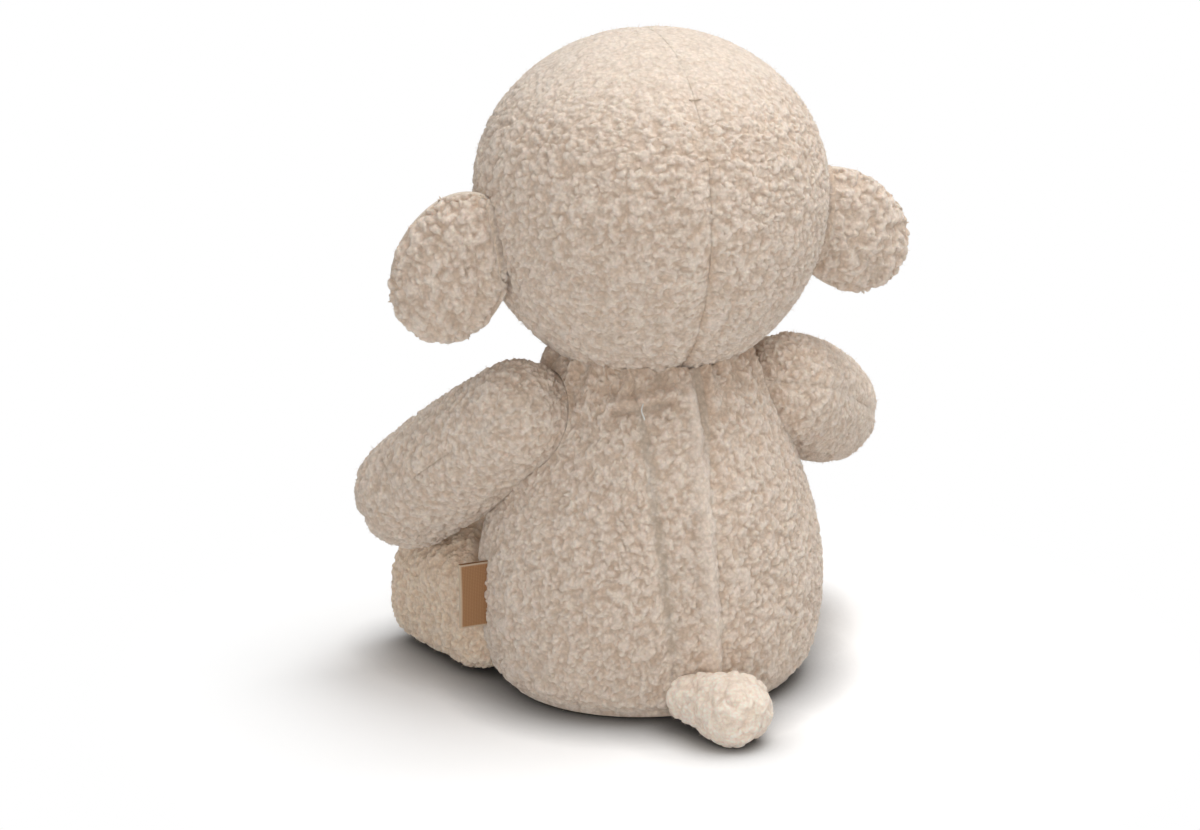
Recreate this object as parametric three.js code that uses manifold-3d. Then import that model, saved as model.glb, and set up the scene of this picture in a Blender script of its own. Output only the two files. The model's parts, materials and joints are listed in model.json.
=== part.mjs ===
import * as THREE from 'three';
import { mergeVertices } from 'three/addons/utils/BufferGeometryUtils.js';
import Module from 'manifold-3d';

// A sitting stuffed sheep. Millimetres, +Z up, facing -Y, so the sheep's left is +X.
// The origin is on the floor under the middle of the body.

// Body, a pear: half sizes at its widest, and a round neck.
const bodyHalfWidth = 77;
const bodyHalfDepth = 68;
const bodyTop = 158;
const bodyProfileShares = [
  [0, 0], [0, 0.45], [0.001, 0.79], [0.02, 0.87], [0.075, 0.935], [0.17, 0.98], [0.3, 1],
  [0.44, 0.962], [0.59, 0.868], [0.73, 0.753], [0.85, 0.65], [0.94, 0.565], [0.985, 0.44], [1, 0],
];
// Heights between which its pressed section turns round, for the neck.
const roundingShares = [0.3, 0.72];

// Head, an upturned egg: half sizes above and below its middle, and a low muzzle in front.
const headMiddleAboveBody = 59;
const headHalfWidth = 76;
const headHalfDepth = 73;
const headRise = 71;
const headDrop = 79;
const headTopFullness = 2.05;
const muzzleRise = 9;
const muzzleDrop = 20;
const muzzleHalfWidth = 27;
const muzzleHalfHeight = 21;
const muzzleBlendShare = 0.6;

// Cover and clearances.
const coverThickness = 3;
const seamGap = 0.3;
const seatGap = 0.3;
const baseSeamHeight = 5;
const sideSeamY = -2;
const stripHalfWidthTop = 14;
const stripHalfWidthBottom = 10.5;
const stripShift = 8;
const stripShiftHeight = 95;
const footFlat = 0.5;

// Neck stuffing, which the head rocks on.
const neckPlugRadius = 35;
const neckPlugDepth = 34;

// Face panel and its embroidery.
const faceHalfWidth = 41;
const faceHalfHeight = 47;
const faceDrop = 7;
const faceEdgeY = -12;
const threadHeight = 1.4;
const eyeHalfWidth = 3.6;
const eyeHalfHeight = 4.6;
const eyeSpread = 23;
const eyeRise = 3;
const noseHalfWidth = 8.5;
const noseHeight = 8;
const noseCorner = 2.5;
const noseTopDrop = 10;
const mouthThread = 1.8;
const mouthDrop = 9;
const mouthHalfWidth = 8;
const mouthRise = 3.5;

// Ears, drooping teardrops that stand out of the head's sides.
const earHalfWidth = 25.6;
const earHalfThickness = 12;
const earHalfHeight = 35;
const leftEarStandOut = 14.5;
const rightEarStandOut = 11;
const earY = 10;
const leftEarDrop = 23.5;
const rightEarDrop = 20;
const earTaperShare = 0.04;
const leftEarLeanDeg = 25;
const rightEarLeanDeg = 53;
const leftEarForwardDeg = 24;
const rightEarForwardDeg = 8;
const earHingeSink = 1;
const earTravelDeg = [-20, -10, 10, 20];

// Arms, from a round root in the shoulder to a fuller paw.
const armRootRadius = 24;
const armTipRadius = 25;
const armSwell = 2;
const armReach = 77;
const shoulderSink = 15;
const shoulderY = 6;
const shoulderBelowTop = 31;
const leftArmForwardDeg = 57;
const rightArmForwardDeg = 54;
const leftArmDroopDeg = 37;
const rightArmDroopDeg = 23;
// Angles that each arm passes as it swings, from its lowest to its highest.
const leftArmTravelDeg = [-3, 20, 40];
const rightArmTravelDeg = [-14, 14, 27];

// Legs, straight tubes with a flat round sole.
const legRootRadius = 28;
const legFootRadius = 29;
const legReach = 52;
const legUndersideFullness = 3.4;
const hipSink = 17;
const hipBehindFront = 33;
const legSplayDeg = 14;
const legTravelDeg = [8, 15];
const soleCorner = 8;
const soleThickness = 3;
const soleInset = 4;

// Tail, a bent teardrop that lies on the floor.
const tailRootRadius = 10;
const tailEndRadius = 14.5;
const tailReach = 22;
const tailRootOut = 6;
const tailBendDeg = 32;
const tailTravelDeg = [18, 35];

// Pellet bag in the seat.
const pelletHalfWidth = 46;
const pelletHalfDepth = 40;
const pelletHalfHeight = 15;

// Folded loop label in the left side seam.
const labelHeight = 29;
const labelReach = 13;
const labelTape = 0.7;
const labelLoop = 0.6;
const labelBottom = 31.5;
const labelSink = 1.8;
const labelTurnDeg = 8;

// Facets of the round forms.
const bodyFacets = 24;
const headFacets = 26;
const headRings = 14;
const headSeatFacets = 40;
const limbFacets = 12;
const arcSteps = 3;
const sideSteps = 2;
const earFacets = 14;
const earRings = 8;
const seatFacets = 12;
const plugFacets = 20;
const pelletFacets = 14;
const pelletRings = 7;
const loopSteps = 5;
const outlineSteps = 6;

const headMiddle = bodyTop + headMiddleAboveBody;

// One overrun for every cutter, longer than the whole toy.
const overrun = 2 * (headMiddle + headRise);

const fleece = { color: 0xdccbb9, roughness: 0.95, metalness: 0 };
const fleeceStrip = { color: 0xd9c7b4, roughness: 0.95, metalness: 0 };
const smoothPlush = { color: 0xe6d9c9, roughness: 0.9, metalness: 0 };
const stuffing = { color: 0xf2efe9, roughness: 1, metalness: 0 };
const pellets = { color: 0xe9e4da, roughness: 0.85, metalness: 0 };
const ribbon = { color: 0x8f6747, roughness: 0.8, metalness: 0 };
const thread = { color: 0x4a3a30, roughness: 0.7, metalness: 0 };

const wasm = await Module();
wasm.setup();

const up = new THREE.Vector3(0, 0, 1);
const radians = THREE.MathUtils.degToRad;

// Shared corners are merged, and faces that shrank to a line at a pole are dropped.
function weld(geometry) {
  const bare = geometry.clone();
  bare.deleteAttribute('normal');
  bare.deleteAttribute('uv');
  const welded = mergeVertices(bare);
  const corners = welded.index.array;
  const faces = [];
  for (let i = 0; i < corners.length; i += 3) {
    const [a, b, c] = corners.subarray(i, i + 3);
    if (a !== b && b !== c && c !== a) {
      faces.push(a, b, c);
    }
  }
  welded.setIndex(faces);
  return welded;
}

function solidOf(geometry) {
  const welded = weld(geometry);
  return new wasm.Manifold(
    new wasm.Mesh({
      numProp: 3,
      vertProperties: Float32Array.from(welded.attributes.position.array),
      triVerts: Uint32Array.from(welded.index.array),
    }),
  );
}

// The same surface moved along its own smooth normals: outwards, or inwards below zero.
function offset(geometry, distance) {
  const grown = weld(geometry);
  grown.computeVertexNormals();
  const place = grown.attributes.position;
  const normal = grown.attributes.normal;
  for (let i = 0; i < place.count; i++) {
    place.setXYZ(
      i,
      place.getX(i) + distance * normal.getX(i),
      place.getY(i) + distance * normal.getY(i),
      place.getZ(i) + distance * normal.getZ(i),
    );
  }
  return grown;
}

function reshape(geometry, map) {
  const place = geometry.attributes.position;
  const point = new THREE.Vector3();
  for (let i = 0; i < place.count; i++) {
    map(point.fromBufferAttribute(place, i));
    place.setXYZ(i, point.x, point.y, point.z);
  }
  return geometry;
}

function boxBetween(low, high) {
  const size = high.map((end, i) => end - low[i]);
  const box = new THREE.BoxGeometry(...size);
  box.translate(...low.map((start, i) => start + size[i] / 2));
  return solidOf(box);
}

// A ball with its corners on its radius, for what turns in a seat.
function rootBall(radius, centre, facets) {
  const sphere = new THREE.SphereGeometry(radius, facets, facets / 2);
  sphere.rotateX(Math.PI / 2);
  sphere.translate(...centre);
  return solidOf(sphere);
}

// A ball whose facets all lie outside its radius, to cut a round seat.
function seatBall(radius, centre, facets) {
  return rootBall(radius / Math.cos(Math.PI / facets) ** 2, centre, facets);
}

function matrixOf(group) {
  group.updateMatrix();
  return group.matrix;
}

function moved(solid, matrix) {
  return solid.transform(matrix.elements);
}

const part = new THREE.Group();

function addPiece(parent, name, solid, finish) {
  const mesh = solid.getMesh();
  const corners = new THREE.BufferAttribute(Float32Array.from(mesh.vertProperties), 3);
  const geometry = new THREE.BufferGeometry();
  geometry.setAttribute('position', corners);
  geometry.setIndex(Array.from(mesh.triVerts));
  const flat = geometry.toNonIndexed();
  flat.computeVertexNormals();
  const piece = new THREE.Mesh(flat, new THREE.MeshStandardMaterial(finish));
  piece.name = name;
  parent.add(piece);
}

// The body is a turned pear, pressed flatter front to back below its round neck.
function bodyForm() {
  const points = bodyProfileShares.map(
    ([heightShare, widthShare]) => new THREE.Vector2(widthShare * bodyHalfWidth, heightShare * bodyTop),
  );
  const turned = new THREE.LatheGeometry(points, bodyFacets);
  turned.rotateX(Math.PI / 2);
  return reshape(turned, (p) => {
    const pressed = bodyHalfDepth / bodyHalfWidth;
    const round = THREE.MathUtils.smoothstep(p.z / bodyTop, ...roundingShares);
    p.y *= THREE.MathUtils.lerp(pressed, 1, round);
  });
}

// The head is a ball drawn out below and fuller above, with a soft muzzle in front.
function headForm() {
  const sphere = new THREE.SphereGeometry(1, headFacets, headRings);
  sphere.rotateX(Math.PI / 2);
  return reshape(weld(sphere), (p) => {
    const facingShare = THREE.MathUtils.smoothstep(-p.y, 0, muzzleBlendShare);
    const level = Math.abs(p.z);
    const across = Math.hypot(p.x, p.y);
    const fullness = p.z > 0 ? headTopFullness : 2;
    const size = 1 / (level ** fullness + across ** fullness) ** (1 / fullness);
    p.x *= size * headHalfWidth;
    p.y *= size * headHalfDepth;
    p.z *= size * (p.z > 0 ? headRise : headDrop);
    const sideways = p.x / muzzleHalfWidth;
    const upwards = (p.z + muzzleDrop) / muzzleHalfHeight;
    p.y -= facingShare * muzzleRise * Math.exp(-sideways * sideways - upwards * upwards);
    p.z += headMiddle;
  });
}

const bodyOuter = bodyForm();
const bodySolid = solidOf(bodyOuter);
const bodyInside = solidOf(offset(bodyOuter, -coverThickness));
const bodyFillSpace = solidOf(offset(bodyOuter, -coverThickness - seatGap));
const bodyClear = solidOf(offset(bodyOuter, seatGap));

const headOuter = headForm();
const headSolid = solidOf(headOuter);
const headInside = solidOf(offset(headOuter, -coverThickness));
const headFillSpace = solidOf(offset(headOuter, -coverThickness - seatGap));
const headClear = solidOf(offset(headOuter, seatGap));
const headSeat = seatBall(headDrop + seatGap, [0, 0, headMiddle], headSeatFacets);

// Under the floor, where nothing may reach.
const underFloor = boxBetween([-overrun, -overrun, -overrun], [overrun, overrun, 0]);

// A limb is turned about its own Y axis, which runs from its root ball to its end.
// Its hinge is its own X axis, through the middle of the root ball.
function limbGroup(pivot, direction) {
  const group = new THREE.Group();
  const along = direction.clone().normalize();
  const hinge = new THREE.Vector3().crossVectors(along, up).normalize();
  const above = new THREE.Vector3().crossVectors(hinge, along);
  group.quaternion.setFromRotationMatrix(new THREE.Matrix4().makeBasis(hinge, along, above));
  group.position.copy(pivot);
  return group;
}

function rootArc(radius) {
  const arc = [];
  for (let i = 0; i < arcSteps; i++) {
    const angle = (Math.PI / 2) * (i / arcSteps - 1);
    arc.push(new THREE.Vector2(i === 0 ? 0 : radius * Math.cos(angle), radius * Math.sin(angle)));
  }
  return arc;
}

// A side that widens from one radius to another and swells a little in between.
function swellingSide(fromRadius, toRadius, reach, swell) {
  const side = [];
  for (let i = 0; i < sideSteps; i++) {
    const share = i / sideSteps;
    const radius = THREE.MathUtils.lerp(fromRadius, toRadius, THREE.MathUtils.smoothstep(share, 0, 1));
    side.push(new THREE.Vector2(radius + swell * Math.sin(Math.PI * share), share * reach));
  }
  return side;
}

function roundEnd(radius, reach) {
  const arc = [];
  for (let i = 0; i <= arcSteps; i++) {
    const angle = (Math.PI / 2) * (i / arcSteps);
    const across = i === arcSteps ? 0 : radius * Math.cos(angle);
    arc.push(new THREE.Vector2(across, reach + radius * Math.sin(angle)));
  }
  return arc;
}

// A flat end with a rounded rim.
function flatEnd(radius, reach, corner) {
  const arc = [];
  for (let i = 0; i <= arcSteps; i++) {
    const angle = (Math.PI / 2) * (i / arcSteps);
    arc.push(new THREE.Vector2(
      radius - corner + corner * Math.cos(angle),
      reach - corner + corner * Math.sin(angle),
    ));
  }
  arc.push(new THREE.Vector2(0, reach));
  return arc;
}

// The carrier's form turned about the limb's hinge through its whole travel, less the root seat.
function travelCut(carrier, group, seat, stepsDeg) {
  const inLimb = moved(carrier, matrixOf(group).clone().invert());
  let cut = inLimb.subtract(seat);
  for (const step of stepsDeg) {
    const turn = new THREE.Matrix4().makeRotationX(-radians(step));
    cut = cut.add(moved(inLimb, turn).subtract(seat));
  }
  return cut;
}

// Arms, mirrored but for how far each droops and points forwards.
function buildArm(side, name, forwardDeg, droopDeg, travelDeg) {
  const pivot = new THREE.Vector3(
    side * (bodyHalfWidth - shoulderSink),
    shoulderY,
    bodyTop - shoulderBelowTop,
  );
  const direction = new THREE.Vector3(
    side * Math.cos(radians(forwardDeg)) * Math.cos(radians(droopDeg)),
    -Math.sin(radians(forwardDeg)) * Math.cos(radians(droopDeg)),
    -Math.sin(radians(droopDeg)),
  );
  const group = limbGroup(pivot, direction);
  const form = new THREE.LatheGeometry(
    [
      ...rootArc(armRootRadius),
      ...swellingSide(armRootRadius, armTipRadius, armReach, armSwell),
      ...roundEnd(armTipRadius, armReach),
    ],
    limbFacets,
  );
  const seat = rootBall(armRootRadius, [0, 0, 0], seatFacets);
  const cut = travelCut(bodyClear, group, seat, travelDeg);
  const outer = solidOf(form).subtract(cut);
  const cover = outer.subtract(solidOf(offset(form, -coverThickness)));
  const above = boxBetween([-overrun, -overrun, seamGap / 2], [overrun, overrun, overrun]);
  const below = boxBetween([-overrun, -overrun, -overrun], [overrun, overrun, -seamGap / 2]);
  addPiece(group, `${name}_arm_upper_panel`, cover.intersect(above), fleece);
  addPiece(group, `${name}_arm_lower_panel`, cover.intersect(below), fleece);
  const fill = solidOf(offset(form, -coverThickness - seatGap)).subtract(cut);
  addPiece(group, `${name}_arm_fill`, fill, stuffing);
  part.add(group);
  return seatBall(armRootRadius + seatGap, pivot.toArray(), seatFacets);
}

// Legs lie on the floor, fuller underneath and cut flat there, and point forwards with a little splay.
function buildLeg(side, name) {
  const pivot = new THREE.Vector3(
    side * (bodyHalfWidth - hipSink),
    hipBehindFront - bodyHalfDepth,
    legFootRadius - footFlat,
  );
  const splay = radians(legSplayDeg);
  const group = limbGroup(pivot, new THREE.Vector3(side * Math.sin(splay), -Math.cos(splay), 0));
  const outline = [
    ...rootArc(legRootRadius),
    ...swellingSide(legRootRadius, legFootRadius, legReach - soleCorner, 0),
    ...flatEnd(legFootRadius, legReach, soleCorner),
  ];
  const form = reshape(new THREE.LatheGeometry(outline, limbFacets), (p) => {
    const fullness = p.z < 0 ? legUndersideFullness : 2;
    const radius = Math.hypot(p.x, p.z);
    const spread = (Math.abs(p.x) ** fullness + Math.abs(p.z) ** fullness) ** (1 / fullness);
    const size = spread > 0 ? radius / spread : 1;
    p.x *= size;
    p.z *= size;
  });
  const seat = rootBall(legRootRadius, [0, 0, 0], seatFacets);
  const floorInLimb = moved(underFloor, matrixOf(group).clone().invert());
  const cut = travelCut(bodyClear, group, seat, legTravelDeg).add(floorInLimb);
  const inside = solidOf(offset(form, -coverThickness));
  const soleRadius = legFootRadius - soleInset;
  const disc = new THREE.CylinderGeometry(soleRadius, soleRadius, soleThickness, limbFacets);
  disc.translate(0, legReach - soleThickness / 2, 0);
  const hole = new THREE.CylinderGeometry(
    soleRadius + seamGap,
    soleRadius + seamGap,
    2 * coverThickness,
    limbFacets,
  );
  hole.translate(0, legReach, 0);
  const cover = solidOf(form).subtract(inside).subtract(solidOf(hole)).subtract(cut);
  addPiece(group, `${name}_leg_cover`, cover, fleece);
  addPiece(group, `${name}_foot_sole`, solidOf(disc).subtract(cut), smoothPlush);
  const fill = solidOf(offset(form, -coverThickness - seatGap)).subtract(cut);
  addPiece(group, `${name}_leg_fill`, fill, stuffing);
  part.add(group);
  return seatBall(legRootRadius + seatGap, pivot.toArray(), seatFacets);
}

function buildTail() {
  const pivot = new THREE.Vector3(tailRootOut, bodyHalfDepth, tailEndRadius - footFlat);
  const bend = radians(tailBendDeg);
  const group = limbGroup(pivot, new THREE.Vector3(-Math.sin(bend), Math.cos(bend), 0));
  const form = new THREE.LatheGeometry(
    [
      ...rootArc(tailRootRadius),
      ...swellingSide(tailRootRadius, tailEndRadius, tailReach, 0),
      ...roundEnd(tailEndRadius, tailReach),
    ],
    limbFacets,
  );
  const seat = rootBall(tailRootRadius, [0, 0, 0], seatFacets);
  const floorInLimb = moved(underFloor, matrixOf(group).clone().invert());
  const cut = travelCut(bodyClear, group, seat, tailTravelDeg).add(floorInLimb);
  const throat = new THREE.CylinderGeometry(
    tailRootRadius / 2,
    tailRootRadius / 2,
    tailRootRadius,
    limbFacets,
  );
  throat.translate(0, -tailRootRadius, 0);
  const inside = solidOf(offset(form, -coverThickness)).add(solidOf(throat));
  addPiece(group, 'tail_cover', solidOf(form).subtract(inside).subtract(cut), fleece);
  const fill = solidOf(offset(form, -coverThickness - seatGap)).subtract(cut);
  addPiece(group, 'tail_fill', fill, stuffing);
  part.add(group);
  return seatBall(tailRootRadius + seatGap, pivot.toArray(), seatFacets);
}

// Ears, flattened eggs, narrower above, that lean in at the top and point a little forwards.
function buildEar(side, name, standOut, drop, leanDeg, forwardDeg) {
  const group = new THREE.Group();
  group.position.set(side * (headHalfWidth - earHingeSink), earY, headMiddle - drop);
  group.rotateZ(-side * radians(forwardDeg));
  const form = new THREE.SphereGeometry(1, earFacets, earRings);
  form.rotateX(Math.PI / 2);
  reshape(form, (p) => {
    p.x *= 1 - earTaperShare * p.z;
  });
  form.scale(earHalfWidth, earHalfThickness, earHalfHeight);
  form.rotateY(-side * radians(leanDeg));
  form.translate(side * (standOut + earHingeSink), 0, 0);
  const headInEar = moved(headClear, matrixOf(group).clone().invert());
  let cut = headInEar;
  for (const step of earTravelDeg) {
    cut = cut.add(moved(headInEar, new THREE.Matrix4().makeRotationZ(radians(step))));
  }
  const cover = solidOf(form).subtract(solidOf(offset(form, -coverThickness))).subtract(cut);
  const behind = boxBetween([-overrun, seamGap / 2, -overrun], [overrun, overrun, overrun]);
  const infront = boxBetween([-overrun, -overrun, -overrun], [overrun, -seamGap / 2, overrun]);
  addPiece(group, `${name}_ear_back_panel`, cover.intersect(behind), fleece);
  addPiece(group, `${name}_ear_inner_panel`, cover.intersect(infront), smoothPlush);
  const fill = solidOf(offset(form, -coverThickness - seatGap)).subtract(cut);
  addPiece(group, `${name}_ear_fill`, fill, stuffing);
  part.add(group);
}

// A flat outline, drawn as seen from the front, carried through the front of the head.
function frontPrism(shape) {
  const prism = new THREE.ExtrudeGeometry(shape, {
    depth: overrun,
    bevelEnabled: false,
    curveSegments: outlineSteps,
  });
  prism.rotateX(Math.PI / 2);
  prism.translate(0, faceEdgeY, headMiddle);
  return solidOf(prism);
}

function ovalShape(x, z, halfWidth, halfHeight) {
  return new THREE.Shape().absellipse(x, z, halfWidth, halfHeight, 0, 2 * Math.PI, false, 0);
}

// A rounded triangle, wide side up, for the nose.
function noseShape() {
  const top = -noseTopDrop;
  const tip = top - noseHeight;
  const shape = new THREE.Shape();
  shape.moveTo(-noseHalfWidth + noseCorner, top);
  shape.lineTo(noseHalfWidth - noseCorner, top);
  shape.quadraticCurveTo(noseHalfWidth, top, noseHalfWidth - noseCorner, top - noseCorner);
  shape.lineTo(noseCorner / 2, tip);
  shape.lineTo(-noseCorner / 2, tip);
  shape.lineTo(-noseHalfWidth + noseCorner, top - noseCorner);
  shape.quadraticCurveTo(-noseHalfWidth, top, -noseHalfWidth + noseCorner, top);
  return shape;
}

// A line of thread down from the nose, and one slanted line to each side of it.
function mouthShapes() {
  const top = -noseTopDrop - noseHeight;
  const foot = top - mouthDrop;
  const half = mouthThread / 2;
  const stem = new THREE.Shape();
  stem.moveTo(-half, top + half);
  stem.lineTo(-half, foot - half);
  stem.lineTo(half, foot - half);
  stem.lineTo(half, top + half);
  const arms = [1, -1].map((side) => {
    const arm = new THREE.Shape();
    arm.moveTo(0, foot + half);
    arm.lineTo(0, foot - half);
    arm.lineTo(side * mouthHalfWidth, foot - half + mouthRise);
    arm.lineTo(side * mouthHalfWidth, foot + half + mouthRise);
    return arm;
  });
  return [stem, ...arms];
}

function buildHead() {
  const cover = headSolid.subtract(headInside);
  const faceOutline = frontPrism(ovalShape(0, -faceDrop, faceHalfWidth, faceHalfHeight));
  const faceHole = frontPrism(
    ovalShape(0, -faceDrop, faceHalfWidth + seamGap, faceHalfHeight + seamGap),
  );
  const fleeceCover = cover.subtract(faceHole);
  const left = boxBetween([seamGap / 2, -overrun, -overrun], [overrun, overrun, overrun]);
  const right = boxBetween([-overrun, -overrun, -overrun], [-seamGap / 2, overrun, overrun]);
  addPiece(part, 'head_left_panel', fleeceCover.intersect(left), fleece);
  addPiece(part, 'head_right_panel', fleeceCover.intersect(right), fleece);
  addPiece(part, 'face_panel', cover.intersect(faceOutline), smoothPlush);
  addPiece(part, 'head_fill', headFillSpace, stuffing);

  const raised = solidOf(offset(headOuter, seatGap + threadHeight)).subtract(headClear);
  for (const [side, name] of [[1, 'left'], [-1, 'right']]) {
    const eye = frontPrism(ovalShape(side * eyeSpread, eyeRise, eyeHalfWidth, eyeHalfHeight));
    addPiece(part, `${name}_eye_embroidery`, raised.intersect(eye), thread);
  }
  let mouth = frontPrism(noseShape());
  for (const shape of mouthShapes()) {
    mouth = mouth.add(frontPrism(shape));
  }
  addPiece(part, 'nose_embroidery', raised.intersect(mouth), thread);
}

// A strip of tape folded into a loop, as seen from above.
function labelShape() {
  const outer = labelTape + labelLoop / 2;
  const inner = labelLoop / 2;
  const straight = labelReach - outer;
  const shape = new THREE.Shape();
  shape.moveTo(-labelReach, -outer);
  shape.lineTo(straight, -outer);
  shape.absarc(straight, 0, outer, -Math.PI / 2, Math.PI / 2, false);
  shape.lineTo(-labelReach, outer);
  shape.lineTo(-labelReach, inner);
  shape.lineTo(straight, inner);
  shape.absarc(straight, 0, inner, Math.PI / 2, -Math.PI / 2, true);
  shape.lineTo(-labelReach, -inner);
  return shape;
}

function buildLabel() {
  const tape = new THREE.ExtrudeGeometry(labelShape(), {
    depth: labelHeight,
    bevelEnabled: false,
    curveSegments: loopSteps,
  });
  tape.rotateZ(radians(labelTurnDeg));
  tape.translate(bodyHalfWidth - labelSink, sideSeamY, labelBottom);
  addPiece(part, 'side_label', solidOf(tape).subtract(bodyClear), ribbon);
}

function buildBody(seats) {
  let cover = bodySolid.subtract(bodyInside).subtract(headSeat);
  let fill = bodyFillSpace.subtract(headSeat);
  for (const seat of seats) {
    cover = cover.subtract(seat);
    fill = fill.subtract(seat);
  }
  const half = seamGap / 2;
  const aboveBase = boxBetween([-overrun, -overrun, baseSeamHeight + half], [overrun, overrun, overrun]);
  const base = boxBetween([-overrun, -overrun, -overrun], [overrun, overrun, baseSeamHeight - half]);
  const front = boxBetween([-overrun, -overrun, -overrun], [overrun, sideSeamY - half, overrun]);
  const rear = boxBetween([-overrun, sideSeamY + half, -overrun], [overrun, overrun, overrun]);
  const left = boxBetween([0, -overrun, -overrun], [overrun, overrun, overrun]);
  const right = boxBetween([-overrun, -overrun, -overrun], [0, overrun, overrun]);
  const behind = boxBetween([-overrun, 0, -overrun], [overrun, overrun, overrun]);
  const strip = stripPrism(-half).intersect(behind);
  const stripHole = stripPrism(half).intersect(behind);

  const sides = cover.intersect(aboveBase);
  const back = sides.intersect(rear);
  addPiece(part, 'back_strip', back.intersect(strip), fleeceStrip);
  addPiece(part, 'back_left_panel', back.subtract(stripHole).intersect(left), fleece);
  addPiece(part, 'back_right_panel', back.subtract(stripHole).intersect(right), fleece);
  addPiece(part, 'belly_panel', sides.intersect(front), fleece);
  addPiece(part, 'base_panel', cover.intersect(base), fleeceStrip);

  const socketRadius = (neckPlugRadius + seatGap) / Math.cos(Math.PI / plugFacets);
  const socket = neckCylinder(socketRadius, neckPlugDepth + seatGap);
  const pelletForm = new THREE.SphereGeometry(1, pelletFacets, pelletRings);
  pelletForm.rotateX(Math.PI / 2);
  pelletForm.scale(pelletHalfWidth, pelletHalfDepth, pelletHalfHeight);
  pelletForm.translate(0, 0, coverThickness + pelletHalfHeight);
  const onBase = boxBetween(
    [-overrun, -overrun, coverThickness + seatGap],
    [overrun, overrun, overrun],
  );
  const bag = solidOf(pelletForm).intersect(onBase);
  addPiece(part, 'pellet_bag', bag, pellets);
  const bagSpace = solidOf(offset(pelletForm, seatGap));
  addPiece(part, 'body_fill', fill.subtract(socket).subtract(bagSpace), stuffing);

  const plug = neckCylinder(neckPlugRadius, neckPlugDepth).subtract(headSeat);
  addPiece(part, 'neck_fill', plug, stuffing);
}

// The strip between the two back seams, a little wider at the neck than at the tail.
// It leans to the sheep's left on its way up from the tail, and then runs straight up.
function stripPrism(growth) {
  const top = stripHalfWidthTop + growth;
  const bottom = stripHalfWidthBottom + growth;
  const middle = THREE.MathUtils.lerp(bottom, top, stripShiftHeight / bodyTop);
  const shape = new THREE.Shape();
  shape.moveTo(-bottom, 0);
  shape.lineTo(bottom, 0);
  shape.lineTo(stripShift + middle, stripShiftHeight);
  shape.lineTo(stripShift + top, bodyTop);
  shape.lineTo(stripShift - top, bodyTop);
  shape.lineTo(stripShift - middle, stripShiftHeight);
  const prism = new THREE.ExtrudeGeometry(shape, { depth: overrun, bevelEnabled: false });
  prism.rotateX(Math.PI / 2);
  prism.translate(0, overrun, 0);
  return solidOf(prism);
}

// An upright cylinder from the middle of the head down to a depth below the body's top.
function neckCylinder(radius, depth) {
  const height = headMiddleAboveBody + depth;
  const cylinder = new THREE.CylinderGeometry(radius, radius, height, plugFacets);
  cylinder.rotateX(Math.PI / 2);
  cylinder.translate(0, 0, headMiddle - height / 2);
  return solidOf(cylinder);
}

const seats = [
  buildArm(1, 'left', leftArmForwardDeg, leftArmDroopDeg, leftArmTravelDeg),
  buildArm(-1, 'right', rightArmForwardDeg, rightArmDroopDeg, rightArmTravelDeg),
  buildLeg(1, 'left'),
  buildLeg(-1, 'right'),
  buildTail(),
];
buildEar(1, 'left', leftEarStandOut, leftEarDrop, leftEarLeanDeg, leftEarForwardDeg);
buildEar(-1, 'right', rightEarStandOut, rightEarDrop, rightEarLeanDeg, rightEarForwardDeg);
buildHead();
buildBody(seats);
buildLabel();

export default part;
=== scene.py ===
import itertools
import json
import math

import bpy
import numpy as np
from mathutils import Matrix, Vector


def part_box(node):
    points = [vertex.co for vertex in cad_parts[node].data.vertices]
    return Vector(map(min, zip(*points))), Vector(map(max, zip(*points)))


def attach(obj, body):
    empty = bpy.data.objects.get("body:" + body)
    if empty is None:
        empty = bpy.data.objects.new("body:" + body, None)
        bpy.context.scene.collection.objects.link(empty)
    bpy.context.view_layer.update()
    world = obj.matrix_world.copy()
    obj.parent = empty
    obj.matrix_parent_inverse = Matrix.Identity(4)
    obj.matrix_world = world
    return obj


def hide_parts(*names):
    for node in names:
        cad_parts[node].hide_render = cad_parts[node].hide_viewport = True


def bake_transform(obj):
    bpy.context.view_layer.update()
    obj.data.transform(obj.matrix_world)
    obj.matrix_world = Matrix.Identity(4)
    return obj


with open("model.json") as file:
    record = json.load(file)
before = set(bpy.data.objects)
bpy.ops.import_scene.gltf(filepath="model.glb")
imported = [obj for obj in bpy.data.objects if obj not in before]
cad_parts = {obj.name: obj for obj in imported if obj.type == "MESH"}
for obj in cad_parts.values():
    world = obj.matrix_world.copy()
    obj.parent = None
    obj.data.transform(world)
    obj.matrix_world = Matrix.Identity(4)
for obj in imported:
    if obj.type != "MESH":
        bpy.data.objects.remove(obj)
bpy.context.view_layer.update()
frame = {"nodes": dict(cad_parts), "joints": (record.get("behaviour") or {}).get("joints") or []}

bl_info = {
    "name": "Plush Sheep",
    "version": (1, 0, 0),
    "blender": (4, 5, 0),
    "location": "3D View > Sidebar > Plush Sheep",
    "description": "Makes a sitting stuffed sheep of curly fleece, panel by panel",
    "category": "Add Mesh",
}

# Everything is in metres, +Z up, and the sheep faces -Y, so its left is +X.
JOINTS = {joint["name"]: joint for joint in frame["joints"]}

# Heights and half widths of the body's side, as shares of its height and its half width.
BODY_PROFILE_SHARES = np.array([
    (0.0, 0.83), (0.02, 0.875), (0.075, 0.935), (0.17, 0.98), (0.3, 1.0), (0.44, 0.962),
    (0.59, 0.868), (0.73, 0.753), (0.85, 0.65), (0.94, 0.565), (0.985, 0.49), (1.0, 0.44),
])


def maker(kind, **settings):
    """Gives a function that makes one kind of property from its label, default and description."""
    return lambda name, default, description: kind(
        name=name, default=default, description=description, **settings
    )


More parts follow.
